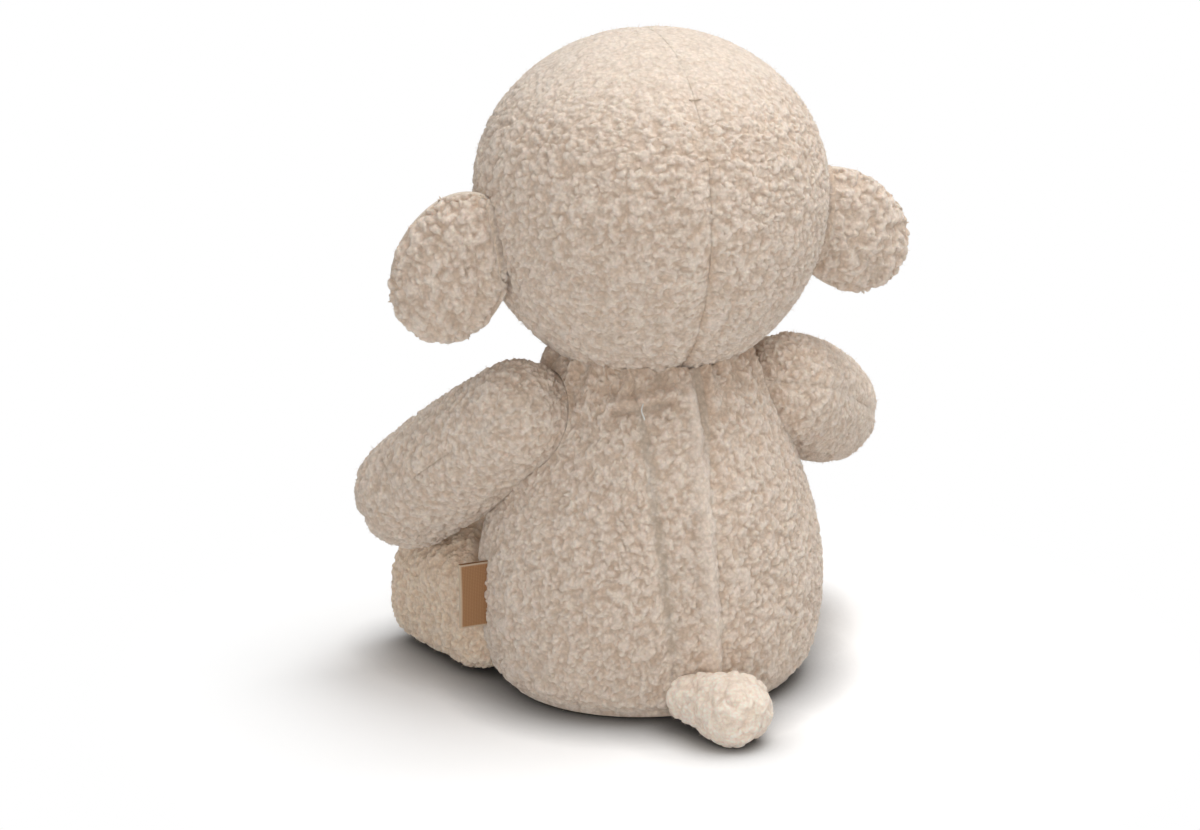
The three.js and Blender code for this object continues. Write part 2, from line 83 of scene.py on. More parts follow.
length = maker(bpy.props.FloatProperty, subtype="DISTANCE", unit="LENGTH", precision=4)
share = maker(bpy.props.FloatProperty, subtype="FACTOR", min=0, max=1)
number = maker(bpy.props.FloatProperty)
angle = maker(bpy.props.FloatProperty, subtype="ANGLE", unit="ROTATION")
place = maker(bpy.props.FloatVectorProperty, subtype="TRANSLATION", unit="LENGTH", size=3)
colour = maker(bpy.props.FloatVectorProperty, subtype="COLOR", size=3, min=0, max=1)


def turn(name, degrees, description):
    """An angle property, given in degrees."""
    return angle(name, math.radians(degrees), description)


class BodySizes(bpy.types.PropertyGroup):
    half_width: length("Half width", 0.077, "Half the body's width at its widest")
    half_depth: length("Half depth", 0.068, "Half the body's depth at its widest")
    top: length("Height", 0.158, "Height of the body's top, inside the neck seam")
    round_from: share("Round from", 0.3, "Share of the height where it starts to turn round")
    round_to: share("Round to", 0.72, "Share of the height where the section is round")
    base_seam: length("Base seam", 0.005, "Height of the seam round the base panel")
    side_seam_y: length("Side seam", -0.002, "Where the side seams run, from front to back")
    strip_top: length("Strip top", 0.014, "Half width of the back strip at the neck")
    strip_bottom: length("Strip bottom", 0.0105, "Half width of the back strip at the tail")
    strip_shift: length("Strip shift", 0.008, "How far the strip leans to the sheep's left on its way up")
    strip_shift_height: length("Strip shift height", 0.095, "Height up to which the strip leans")
    strip_wander: length("Strip wander", 0.0003, "How far each of two waves bends the strip's seams")
    collar: length("Collar", 0.0024, "How far the cloth runs on up under the head")
    collar_trim: length("Collar trim", 0.0016, "How far the collar is drawn in at the front")
    seat_clearance: length("Seat clearance", 0.0003, "Room between a limb's root and its seat")
    gather: length("Neck gathers", 0.0022, "Depth of the gathers below the neck seam")
    gather_reach: length("Gather reach", 0.022, "How far the gathers run down from the neck seam")
    ridge: length("Strip ridge", 0.0034, "Height of the ridge inside the strip's right seam")
    ridge_width: length("Ridge width", 0.0034, "Half width of that ridge")
    ridge_offset: length("Ridge offset", 0.0048, "From the seam to the middle of that ridge")
    left_valley: length("Left valley", 0.0015, "Depth that the strip's left seam gains")
    neck_valley: length("Neck valley", 0.0036, "Depth that the strip's right seam gains near the neck")
    neck_valley_width: length("Neck valley width", 0.0026, "Half width of that valley")
    neck_valley_offset: length("Neck valley offset", 0.0012, "From the seam out to the middle of that valley")
    stitch_dimple: length("Stitch dimples", 0.0012, "Depth of the dimples along the strip's left seam")
    tuck: length("Tuck", 0.0034, "Depth of the tuck where the back is sewn shut")
    tuck_lip: length("Tuck lip", 0.0036, "Height of the lip above the tuck")
    tuck_width: length("Tuck width", 0.0014, "Half width of the tuck")
    tuck_left: length("Tuck left end", 0.031, "From the body's middle to the tuck's left end")
    tuck_low: length("Tuck left height", 0.1345, "Height of the tuck's left end")
    tuck_right: length("Tuck right end", 0.008, "From the body's middle to the tuck's right end")
    tuck_high: length("Tuck right height", 0.139, "Height of the tuck's right end")
    thread_top: length("Thread top", 0.1385, "Height at which the closing thread comes out")
    thread_drop: length("Thread drop", 0.0062, "How far the closing thread hangs down")
    thread_side: length("Thread side", 0.0195, "How far to the left the thread comes out")
    thread_lean: length("Thread lean", 0.001, "How far to the left the thread leans on its way down")
    thread_curl: length("Thread curl", 0.0005, "How far the thread curls to either side")
    thread_bow: length("Thread bow", 0.0026, "How far the thread bows out from the cloth")
    thread_root: length("Thread root", 0.0012, "How deep in the pile the thread starts")
    thread_width: length("Thread width", 0.0006, "Width of the closing thread")


class HeadSizes(bpy.types.PropertyGroup):
    half_width: length("Half width", 0.076, "Half the head's width")
    half_depth: length("Half depth", 0.073, "Half the head's depth")
    rise: length("Rise", 0.071, "From the head's middle to its top")
    drop: length("Drop", 0.079, "From the head's middle to its lowest point")
    top_fullness: number("Top fullness", 2.05, "How square the upper half is, where 2 is a ball")
    muzzle_rise: length("Muzzle rise", 0.009, "How far the muzzle stands out")
    muzzle_drop: length("Muzzle drop", 0.02, "How far the muzzle lies below the head's middle")
    muzzle_half_width: length("Muzzle half width", 0.027, "Half the muzzle's width")
    muzzle_half_height: length("Muzzle half height", 0.021, "Half the muzzle's height")
    muzzle_blend: share("Muzzle blend", 0.6, "Share of the head's depth over which the muzzle sets in")
    face_half_width: length("Face half width", 0.041, "Half the face panel's width")
    face_half_height: length("Face half height", 0.047, "Half the face panel's height")
    face_drop: length("Face drop", 0.007, "How far the face panel lies below the head's middle")
    eye_spread: length("Eye spread", 0.023, "From the face's middle to each eye")
    eye_rise: length("Eye rise", 0.003, "From the head's middle up to the eyes")
    eye_half_width: length("Eye half width", 0.0036, "Half an eye's width")
    eye_half_height: length("Eye half height", 0.0046, "Half an eye's height")
    nose_half_width: length("Nose half width", 0.0085, "Half the nose's width")
    nose_height: length("Nose height", 0.008, "Height of the nose")
    nose_top_drop: length("Nose drop", 0.010, "From the head's middle down to the nose's top")
    mouth_drop: length("Mouth drop", 0.009, "Length of the line from the nose down to the mouth")
    mouth_half_width: length("Mouth half width", 0.008, "Half the mouth's width")
    mouth_rise: length("Mouth rise", 0.0035, "How far the mouth's ends rise")
    mouth_width: length("Mouth line width", 0.0018, "Width of the stitched lines of the mouth")
    thread_rise: length("Thread rise", 0.0014, "How far the embroidery stands up")
    thread_sink: length("Thread sink", 0.0012, "How far the embroidery's back lies inside the cloth")
    thread_pitch: length("Thread pitch", 0.00042, "Distance from one stitched thread to the next")
    thread_relief: length("Thread relief", 0.0001, "Height of one stitched thread above the next furrow")
    face_clearance: length("Face clearance", 0.0003, "Room between the face panel and the fleece round it")
    seam_depth: length("Seam depth", 0.0013, "Depth of the valley along the head's seams")
    crease_depth: length("Crease depth", 0.0006, "Depth of the crease in the head's seams")
    depth_share: share("Curl depth share", 0.85, "Depth of the head's curls, as a share of the body's")
    crown_from: share("Crown from", 0.45, "Share of the rise above which the pile starts to lie flatter")
    crown_to: share("Crown to", 0.9, "Share of the rise above which the pile lies flattest")
    crown_pressed: share("Crown pressed", 0.7, "How much flatter the pile lies on the crown")
    # Painted light and shade on the head: a painted highlight on the crown, and painted shade in the stitched
    # dimples along the seam.
    crown_painted_highlight: share("Crown paler", 0.3, "How much paler the crown is")
    dimple_painted_shade: share("Dimples darker", 0.5, "How much darker the stitched dimples along the seam are")


class EarSizes(bpy.types.PropertyGroup):
    half_width: length("Half width", 0.0256, "Half an ear's width")
    half_thickness: length("Half thickness", 0.012, "Half an ear's thickness")
    half_height: length("Half height", 0.035, "Half an ear's height")
    hinge_sink: length("Hinge sink", 0.001, "How far the ear's root lies inside the head's side")
    bend_start: length("Bend start", 0.002, "How far out from its hinge an ear starts to bend")
    bend_end: length("Bend end", 0.016, "How far out from its hinge an ear ends to bend")
    taper: share("Taper", 0.04, "How much narrower the ear is above")
    clearance: length("Clearance", 0.0004, "Room between an ear and the side of the head")
    curl_share: number("Curl share", 1.25, "Size and depth of the ears' curls, as a share of the body's")
    left_stand_out: length("Left stand out", 0.0145, "From the head's side to the left ear's middle")
    right_stand_out: length("Right stand out", 0.011, "From the head's side to the right ear's middle")
    left_lean: turn("Left lean", 25, "How far the left ear's top leans in")
    right_lean: turn("Right lean", 53, "How far the right ear's top leans in")
    left_forward: turn("Left forward", 24, "How far the left ear points forwards")
    right_forward: turn("Right forward", 8, "How far the right ear points forwards")


class LimbSizes(bpy.types.PropertyGroup):
    arm_root: length("Arm root radius", 0.024, "Radius of an arm at the shoulder")
    arm_tip: length("Arm tip radius", 0.025, "Radius of the paw")
    arm_swell: length("Arm swell", 0.002, "How much an arm swells along its middle")
    arm_reach: length("Arm reach", 0.077, "From the shoulder to the middle of the paw")
    left_droop: turn("Left arm droop", 37, "How far the left arm hangs below level")
    right_droop: turn("Right arm droop", 23, "How far the right arm hangs below level")
    leg_root: length("Leg root radius", 0.028, "Radius of a leg at the hip")
    leg_foot: length("Foot radius", 0.029, "Radius of a leg at the foot")
    leg_reach: length("Leg reach", 0.052, "From the hip to the sole")
    leg_fullness: number("Leg underside", 3.4, "How square a leg's underside is, where 2 is round")
    sole_corner: length("Sole corner", 0.008, "Radius of the rim round the sole")
    sole_inset: length("Sole inset", 0.004, "From the foot's side to the sole panel's edge")
    sole_clearance: length("Sole clearance", 0.0003, "Room between the sole panel and the leg's cover")
    sole_crown: length("Sole crown", 0.0012, "How far the middle of a sole stands out")
    hip_swell: length("Hip swell", 0.0075, "How much fuller the top of each thigh is beside the body")
    hip_place: length("Hip place", 0.01, "From a leg's root to the middle of that swell")
    hip_reach: length("Hip reach", 0.022, "Half width of that swell along the leg")
    tail_root: length("Tail root radius", 0.010, "Radius of the tail at its root")
    tail_end: length("Tail end radius", 0.0145, "Radius of the tail's fuller end")
    tail_reach: length("Tail reach", 0.022, "From the tail's root to the middle of its end")
    tail_swell: length("Tail swell", 0.0012, "How much fuller the tail is outside the body than its root")
    tail_curl_share: number("Tail curl share", 1.5, "Size of the tail's curls, as a share of the body's")
    tail_depth_share: share("Tail depth share", 0.9, "Depth of the tail's curls, as a share of the body's")
    # Painted light on the tail, for the light that falls on its upturned top.
    tail_painted_light: share("Tail paler", 0.25, "How much paler the tail is")
    root_soft: length("Root step", 0.002, "Over what distance a limb's pile starts")
    tail_root_soft: length("Tail root step", 0.001, "The same for the tail")
    swell_soft: length("Swell step", 0.004, "Over what distance hip and tail start to swell")


class FleeceLook(bpy.types.PropertyGroup):
    step: length("Mesh step", 0.00062, "Spacing of the vertices on a panel")
    curl: length("Curl size", 0.0046, "Width of one curl of the fleece")
    small_share: share("Small curls", 0.6, "Width of the small curls, as a share of a large one's")
    large_sharpness: number("Large sharpness", 6, "How sharply the large curls part from each other")
    small_sharpness: number("Small sharpness", 8, "How sharply the small curls part from each other")
    dome_share: share("Domes", 0.25, "Height from the large curls' domes")
    apart_share: share("Crevices", 0.10, "Height from the crevices between the large curls")
    lift_share: share("Lift", 0.25, "Height from the large curls' lifted ends")
    small_dome_share: share("Small domes", 0.42, "Height from the small curls' domes")
    small_apart_share: share("Small crevices", 0.14, "Height from the small curls' crevices")
    small_lift_share: share("Small lift", 0.25, "Height from the small curls' lifted ends")
    lowest_share: share("Lowest", 0.40, "Sum of those heights that counts as the bottom of a crevice")
    highest_share: share("Highest", 0.92, "Sum of those heights that counts as a tip")
    large_length: share("Large curls' length", 0.5, "How long the large curls are, where 0 is round")
    small_length: share("Small curls' length", 0.72, "How long the small curls are, where 0 is round")
    pit_floor: share("Pit floor", 0.3, "Least height of a crevice, where 1 is a tip")
    pit_slope: share("Pit slope", 0.4, "How much of its own depth a crevice keeps above that")
    large_tone: share("Large curls' tone", 0.3, "Part of the tone from the large curls, not the small ones")
    depth: length("Curl depth", 0.0026, "From the bottom of a crevice to the tip of a curl")
    proud: length("Tips above form", 0.0006, "How far the tips stand above the sewn form")
    stray: length("Stray", 0.0018, "How far the curls stray from round")
    combed: number("Combed", 1.0, "How strongly the curls follow the nap, where 0 is not at all")
    nap_size: length("Nap size", 0.028, "Distance over which the nap turns")
    fibres: number("Fibres", 10, "Loose fibres on each square centimetre")
    fibre_length: length("Fibre length", 0.0026, "Length of the longest loose fibres")
    fibre_width: length("Fibre width", 0.00014, "Width of a loose fibre at its root")
    lump: length("Lumps", 0.0004, "Height of the soft lumps in the stuffing")
    lump_size: length("Lump size", 0.024, "Width of the soft lumps in the stuffing")
    cloth: length("Cloth depth", 0.0029, "From the pile's middle down to the inner side of the cloth")
    seam_width: length("Seam width", 0.0034, "Half width of the valley along a seam")
    seam_pressed: share("Seam pressed", 0.45, "How much flatter the pile lies along a seam")
    # Painted shade in the crease of a seam.
    seam_painted_shade: share("Seam darker", 0.35, "How much darker the pile is in the crease of a seam")
    seam_depth: length("Seam depth", 0.0011, "Depth of the valley along a seam")
    crease_width: length("Crease width", 0.0011, "Half width of the crease in a seam")
    crease_depth: length("Crease depth", 0.0005, "Depth of the crease in a seam")
    stretch: length("Crease stretches", 0.021, "Length of the stretches that show or hide the crease")
    dimple_width: length("Dimple width", 0.0019, "Half width of the dimples along a stitched seam")
    dimple_size: length("Dimple spacing", 0.009, "Distance over which those dimples come and go")
    # The pile's height mixes the tip colour down to the crevice colour, so the darker crevice colour is
    # painted shade between the curls.
    tip: colour("Tip colour", (0.885, 0.765, 0.66), "Colour of the curls' tips")
    crevice: colour("Crevice colour", (0.72, 0.57, 0.45), "Colour down between the curls")
    smooth: colour("Smooth plush colour", (0.80, 0.70, 0.59), "Colour of the face, inner ears and soles")


class StageLook(bpy.types.PropertyGroup):
    target_height: length("Target height", 0.119, "Height of the point that the camera looks at")
    distance: length("Camera distance", 1.3, "From the camera to that point")
    azimuth: turn("Camera azimuth", 160, "Turn of the camera about the object from the front")
    elevation: turn("Camera elevation", 17, "Height of the camera above level")
    lens: number("Lens", 89.7, "Focal length in millimetres")
    shift: number("Shift", -0.0425, "Sideways shift that frames the object as in the photograph")
    key: number("Top light", 15.7, "Power of the large lamp overhead, in watts")
    key_size: length("Top light size", 1.1, "Width of that lamp")
    key_place: place("Top light place", (-0.38, 0.05, 1.42), "Where that lamp hangs")
    fill: number("Side light", 2.0, "Power of the lamp at the picture's right, in watts")
    fill_size: length("Side light size", 1.0, "Width of that lamp")
    fill_place: place("Side light place", (-1.3, 0.8, 0.7), "Where that lamp stands")
    front: number("Camera light", 12.0, "Power of the low lamp behind the camera, in watts")
    front_size: length("Camera light size", 1.4, "Width of that lamp")
    front_place: place("Camera light place", (0.8, 1.5, 0.28), "Where that lamp stands")
    world: number("World light", 0.40, "Strength of the white world")
    near: length("Shadow floor", 0.13, "How far out the floor is plainly lit")
    far: length("White floor", 0.25, "How far out the floor is all white")


SIZE_GROUPS = {
    "sheep_body": BodySizes,
    "sheep_head": HeadSizes,
    "sheep_ears": EarSizes,
    "sheep_limbs": LimbSizes,
    "sheep_fleece": FleeceLook,
    "sheep_stage": StageLook,
}


# Patterns of the fleece. Each has a number of its own, which sets its random numbers apart.

LARGE_STRAY = 3
SMALL_STRAY = 4
LARGE_CURLS = 5
SMALL_CURLS = 6
NAP = 7
CREASE_WANDER = 21
CREASE_STRETCHES = 22
DIMPLES = 23
LUMPS = 31

CELLS = 65536
CELL_TABLE = np.random.RandomState(11).rand(CELLS, 5)
CELL_TURNS = np.random.RandomState(12).normal(size=(CELLS, 3))
CELL_TURNS /= np.linalg.norm(CELL_TURNS, axis=1, keepdims=True)
CELL_PRIMES = (73856093, 19349663, 83492791)
PATTERN_PRIME = 40503
TINY = 1e-12

# A curl's cell, in shares of its size: the margin that a curl's place keeps from the walls, how far off the
# surface it still counts whole, over how much more it fades, and how much the curls differ in height.
CELL_MARGIN = 0.1
CELL_WHOLE = 0.45
CELL_FADE = 0.35
DOME_SPREAD = 0.15
DOME_RANGE = 0.55

# The nap: how strongly it turns, and how much it falls on the whole.
NAP_TURN = 1.6
NAP_FALL = np.array([0, 0, -0.5])

# How wide the noise is that bends the large curls, in curls, and how much less the small ones are bent.
STRAY_WIDTH = 1.1
SMALL_STRAY_SHARE = 0.5


def cell_key(cell, pattern):
    """A place in the table for each whole-number cell, from its three numbers times large primes."""
    mixed = cell[..., 0] * CELL_PRIMES[0] ^ cell[..., 1] * CELL_PRIMES[1] ^ cell[..., 2] * CELL_PRIMES[2]
    return (mixed ^ pattern * PATTERN_PRIME) & CELLS - 1


def curl_domes(points, normals, size, pattern, nap, drawn_out, sharpness):
    """Each cubic cell near the surface holds one curl, with a place and a height of its own, which lies along
    a direction mixed from its own and the nap's. A curl is a dome: its height less the square of the
    distance from it along the surface, which counts for less along its direction, so that it is longer
    that way. A curl whose place lies off the surface fades. Where domes meet, the soft maximum (the
    logarithm of the sum of their exponentials) rounds them into a crevice. Gives the height, how far each
    point is from a crevice, from 0 to 1, how far it lies towards the raised end of its curl, and the
    curl's own tone."""
    scaled = points / size
    cell = np.floor(scaled).astype(np.int64)
    local = scaled - cell
    total = np.full(len(points), TINY)
    largest = np.zeros(len(points))
    lifted = np.zeros(len(points))
    toned = np.zeros(len(points))
    for step in itertools.product((-1, 0, 1), repeat=3):
        key = cell_key(cell + np.array(step), pattern)
        own = CELL_TABLE[key]
        line = CELL_MARGIN + (1 - 2 * CELL_MARGIN) * own[:, :3] + step - local
        off = (line * normals).sum(1)
        way = CELL_TURNS[key] + nap
        way = unit(way - (way * normals).sum(1, keepdims=True) * normals)
        along = (line * way).sum(1)
        faded = np.maximum(np.abs(off) - CELL_WHOLE, 0) / CELL_FADE
        dome = DOME_SPREAD * own[:, 3] - (line ** 2).sum(1) + off ** 2 + drawn_out * along ** 2 - faded ** 2
        weight = np.exp(sharpness * dome)
        total += weight
        lifted -= weight * along
        toned += weight * own[:, 4]
        largest = np.maximum(largest, weight)
    height = np.clip(1 + np.log(total) / sharpness / DOME_RANGE, 0, 1)
    return height, np.clip(2 * largest / total - 1, 0, 1), lifted / total, toned / total


def soft_noise(points, size, pattern):
    """Three smooth random numbers from -1 to 1 at each point: random corners of a cubic lattice, mixed by
    the smooth step of the place between them."""
    scaled = points / size
    cell = np.floor(scaled).astype(np.int64)
    local = scaled - cell
    local = local * local * (3 - 2 * local)
    total = np.zeros(points.shape)
    for step in itertools.product((0, 1), repeat=3):
        weight = np.where(np.array(step) == 1, local, 1 - local).prod(-1)
        total += weight[..., None] * CELL_TABLE[cell_key(cell + np.array(step), pattern), :3]
    return 2 * total - 1


def smooth_step(value, start, end):
    """0 up to the start, 1 from the end on, and between them the share of the way squared times three less
    twice itself."""
    part = np.clip((value - start) / (end - start), 0, 1)
    return part * part * (3 - 2 * part)


def fleece(points, normals, look, size_share=1.0):
    """Height of the fleece, up to 1 on a tip, and a tone of each curl's own: large curls with small ones on
    them, both bent by soft noise and combed along a nap that turns slowly over the sheep. The end of each
    curl that the nap points to is lifted, so that the curls overlap like leaves. The height is the sum of
    the curls' domes, crevices and lifted ends, each times its share, stretched by a smooth step from the
    lowest sum to the highest. Deep crevices are filled up to a floor plus a slope times their height."""
    flat, facing = points.reshape(-1, 3), normals.reshape(-1, 3)
    curl = look.curl * size_share
    stray = look.stray * size_share
    nap = look.combed * (soft_noise(flat, look.nap_size, NAP) * NAP_TURN + NAP_FALL)
    bent = flat + stray * soft_noise(flat, curl * STRAY_WIDTH, LARGE_STRAY)
    large, apart, lifted, tone = curl_domes(
        bent, facing, curl, LARGE_CURLS, nap, look.large_length, look.large_sharpness,
    )
    bent = flat + stray * SMALL_STRAY_SHARE * soft_noise(flat, curl * SMALL_STRAY_SHARE, SMALL_STRAY)
    small, split, small_lifted, small_tone = curl_domes(
        bent, facing, curl * look.small_share, SMALL_CURLS, nap, look.small_length, look.small_sharpness,
    )
    large = 1 - (1 - large) ** 2
    height = look.dome_share * large + look.apart_share * apart + look.lift_share * lifted
    height = height + look.small_dome_share * small + look.small_apart_share * split
    height = smooth_step(height + look.small_lift_share * small_lifted, look.lowest_share, look.highest_share)
    height = np.maximum(height, look.pit_floor + look.pit_slope * height)
    tone = look.large_tone * tone + (1 - look.large_tone) * small_tone
    return height.reshape(points.shape[:-1]), tone.reshape(points.shape[:-1])


# Panels: grids of points, laid on a form, given their pile and closed on the inside.

# The inner side of a panel has one step for so many of the outer side.
COARSE = 4

# Heights of the strips on a piece's flat picture: the inner side, the rim, the loose fibres, whose cells
# are about square, and the outer side.
MAP_INNER_TOP = 0.12
MAP_RIM_LOW = 0.13
MAP_RIM_HIGH = 0.15
MAP_FIBRES_LOW = 0.16
MAP_FIBRES_TALL = 0.13
MAP_FIBRES_ROWS = 0.14
MAP_OUTER_LOW = 0.3


def unit_grid(across, along):
    """Two parameters that run evenly from 0 to 1, one down the grid and one across it."""
    return np.meshgrid(np.linspace(0, 1, across + 1), np.linspace(0, 1, along + 1), indexing="ij")


def steps_for(distance, step):
    """A whole number of steps along a distance, which the coarser inner grid divides evenly."""
    return max(2, round(distance / step / COARSE)) * COARSE


def square_to_disc(u, v):
    """Even map of a square onto a disc: each ring of the square becomes a circle. Gives radius and angle."""
    a, b = 2 * u - 1, 2 * v - 1
    wide = np.abs(a) > np.abs(b)
    radius = np.where(wide, a, b)
    safe = np.where(radius == 0, 1, radius)
    angle = np.where(wide, np.pi / 4 * b / safe, np.pi / 2 - np.pi / 4 * a / safe)
    return radius, angle


def unit(vectors):
    """The same directions, one metre long."""
    return vectors / np.maximum(np.linalg.norm(vectors, axis=-1, keepdims=True), TINY)


def grid_normals(points, inside):
    """The cross product of the two directions of the grid, turned away from a point inside the form."""
    normal = unit(np.cross(np.gradient(points, axis=0), np.gradient(points, axis=1)))
    return -normal if (normal * (points - inside)).sum(-1).mean() < 0 else normal


def seam_distance(points, seams):
    """How far each point of a grid lies from its nearest seam. seams names the sides that are sewn:
    u0, u1, v0 and v1."""
    nearest = np.full(points.shape[:2], 1.0)
    for axis, names in enumerate((("u0", "u1"), ("v0", "v1"))):
        steps = np.diff(points, axis=axis, prepend=points.take([0], axis))
        start = np.linalg.norm(steps, axis=-1).cumsum(axis)
        for name, distance in zip(names, (start, start.take([-1], axis) - start)):
            if name in seams:
                nearest = np.minimum(nearest, distance)
    return nearest


def border(count_u, count_v):
    """Grid places along a grid's border, once round it."""
    u, v = np.arange(count_u), np.arange(count_v)
    return np.concatenate([
        np.stack([u[:-1], np.zeros_like(u[1:])], -1),
        np.stack([np.full_like(v[1:], u[-1]), v[:-1]], -1),
        np.stack([u[:0:-1], np.full_like(u[1:], v[-1])], -1),
        np.stack([np.zeros_like(v[1:]), v[:0:-1]], -1),
    ])


def grid_faces(count_u, count_v, start, flip):
    """Two triangles for each square of a grid whose corners are numbered from start."""
    place = start + np.arange(count_u * count_v).reshape(count_u, count_v)
    a, b, c, d = place[:-1, :-1], place[1:, :-1], place[1:, 1:], place[:-1, 1:]
    faces = np.concatenate([np.stack([a, b, c], -1).reshape(-1, 3), np.stack([a, c, d], -1).reshape(-1, 3)])
    return faces[:, ::-1] if flip else faces


def zip_faces(fine, coarse):
    """Joins a fine loop of corners to one with a quarter as many, by a fan of triangles at each of these."""
    fine = fine.reshape(-1, COARSE)
    ring = np.concatenate([fine, np.roll(fine[:, :1], -1, axis=0)], 1)
    half, after = COARSE // 2, np.roll(coarse, -1)
    faces = [
        np.stack([ring[:, k], coarse if k < half else after, ring[:, k + 1]], -1) for k in range(COARSE)
    ]
    faces.append(np.stack([ring[:, half], coarse, after], -1))
    return np.concatenate(faces)


def closed_shell(outer, inner):
    """Corners and triangles of a closed skin: a fine outer grid, a coarse inner grid and the rim between."""
    outer_count, inner_count = outer.shape[:2], inner.shape[:2]
    corners = np.concatenate([outer.reshape(-1, 3), inner.reshape(-1, 3)])
    start = outer_count[0] * outer_count[1]
    fine = border(*outer_count)
    coarse = border(*inner_count)
    fine_index = fine[:, 0] * outer_count[1] + fine[:, 1]
    coarse_index = start + coarse[:, 0] * inner_count[1] + coarse[:, 1]
    faces = np.concatenate([
        grid_faces(*outer_count, 0, False),
        grid_faces(*inner_count, start, True),
        zip_faces(fine_index, coarse_index),
    ])
    return corners, faces


def shell_map(outer_count, inner_count, faces):
    """Places of every triangle's corners on a flat picture: the outer side above, the inner one in a strip
    below it and the rim between the two."""
    flat = []
    for (count_u, count_v), low, high in ((outer_count, MAP_OUTER_LOW, 1), (inner_count, 0, MAP_INNER_TOP)):
        u, v = np.meshgrid(np.linspace(0, 1, count_u), np.linspace(low, high, count_v), indexing="ij")
        flat.append(np.stack([u, v], -1).reshape(-1, 2))
    places = np.concatenate(flat)[faces]
    start = outer_count[0] * outer_count[1]
    rim = (faces < start).any(1) & (faces >= start).any(1)
    loops = len(border(*inner_count))
    fan = np.tile(np.arange(loops), COARSE + 1)
    part = np.repeat(np.arange(COARSE + 1), loops)
    left = (fan + np.minimum(part, COARSE - 1) / COARSE) / loops
    right = left + 1 / COARSE / loops
    low = np.where(part < COARSE // 2, fan, fan + 1) / loops
    lower, upper = np.full(len(fan), MAP_RIM_LOW), np.full(len(fan), MAP_RIM_HIGH)
    rim_places = np.stack([
        np.stack([left, upper], -1), np.stack([low, lower], -1), np.stack([right, upper], -1),
    ], 1)
    last = part == COARSE
    rim_places[last] = np.stack([
        np.stack([(fan + 0.5) / loops, upper], -1),
        np.stack([fan / loops, lower], -1),
        np.stack([(fan + 1) / loops, lower], -1),
    ], 1)[last]
    places[rim] = np.clip(rim_places, 0, 1)
    return places


# Corners that agree to this many steps in a metre share a place.
WELD_STEPS = 1e7


def weld(corners, faces):
    """Merges corners that share a place, as at a pole, and drops triangles that this shrinks to a line."""
    rounded = np.round(corners * WELD_STEPS).astype(np.int64)
    _, first, place = np.unique(rounded, axis=0, return_index=True, return_inverse=True)
    merged = place.reshape(-1)[faces]
    kept = (merged[:, 0] != merged[:, 1]) & (merged[:, 1] != merged[:, 2]) & (merged[:, 2] != merged[:, 0])
    return first, merged[kept], kept


# Edges that turn more than this stay sharp.
SHARP_FROM = math.radians(75)


def new_piece(name, corners, faces, material, values=None, places=None):
    """A mesh object at the origin from arrays of corners and triangles, with a number at each corner for
    each name in values, and a flat map of the triangles' corners."""
    first, faces, kept = weld(corners, faces)
    corners = corners[first]
    volume = (np.cross(corners[faces[:, 0]], corners[faces[:, 1]]) * corners[faces[:, 2]]).sum()
    if places is not None:
        places = places[kept]
    if volume < 0:
        faces = faces[:, ::-1]
        places = None if places is None else places[:, ::-1]
    mesh = bpy.data.meshes.new(name)
    mesh.vertices.add(len(corners))
    mesh.vertices.foreach_set("co", corners.astype(np.float32).ravel())
    mesh.loops.add(faces.size)
    mesh.loops.foreach_set("vertex_index", faces.astype(np.int32).ravel())
    mesh.polygons.add(len(faces))
    mesh.polygons.foreach_set("loop_start", np.arange(0, faces.size, 3, dtype=np.int32))
    mesh.polygons.foreach_set("use_smooth", np.ones(len(faces), bool))
    if places is not None:
        mesh.uv_layers.new(name="OFBake").data.foreach_set("uv", places.astype(np.float32).ravel())
    for value_name, numbers in (values or {}).items():
        attribute = mesh.attributes.new(value_name, "FLOAT", "POINT")
        attribute.data.foreach_set("value", numbers.ravel()[first].astype(np.float32))
    mesh.update(calc_edges=True)
    mesh.set_sharp_from_angle(angle=SHARP_FROM)
    mesh.materials.append(material)
    piece = bpy.data.objects.new(name, mesh)
    bpy.context.scene.collection.objects.link(piece)
    return piece


# A loose fibre: its sides, its least length and its width at the bend as shares, how far it leans at its
# root, turns at its bend and rises after it, and how bright its root, bend and tip are: darker towards
# the root, as painted shade deep in the pile.
FIBRE_SIDES = 3
FIBRE_LEAST = 0.45
FIBRE_BEND_WIDTH = 0.4
FIBRE_LEAN = 1.1
FIBRE_TURN = 1.3
FIBRE_RISE = 0.25
FIBRE_PAINTED_SHADE = (0.45, 0.7, 0.9)
FIBRE_TONE = 0.6


def ring_about(side, other, sides):
    """Corners of an even ring about each point, one metre in radius, from two directions across it: one times
    the cosine of the turn plus the other times its sine."""
    turns = np.arange(sides) * 2 * np.pi / sides
    return side[:, None] * np.cos(turns)[:, None] + other[:, None] * np.sin(turns)[:, None]


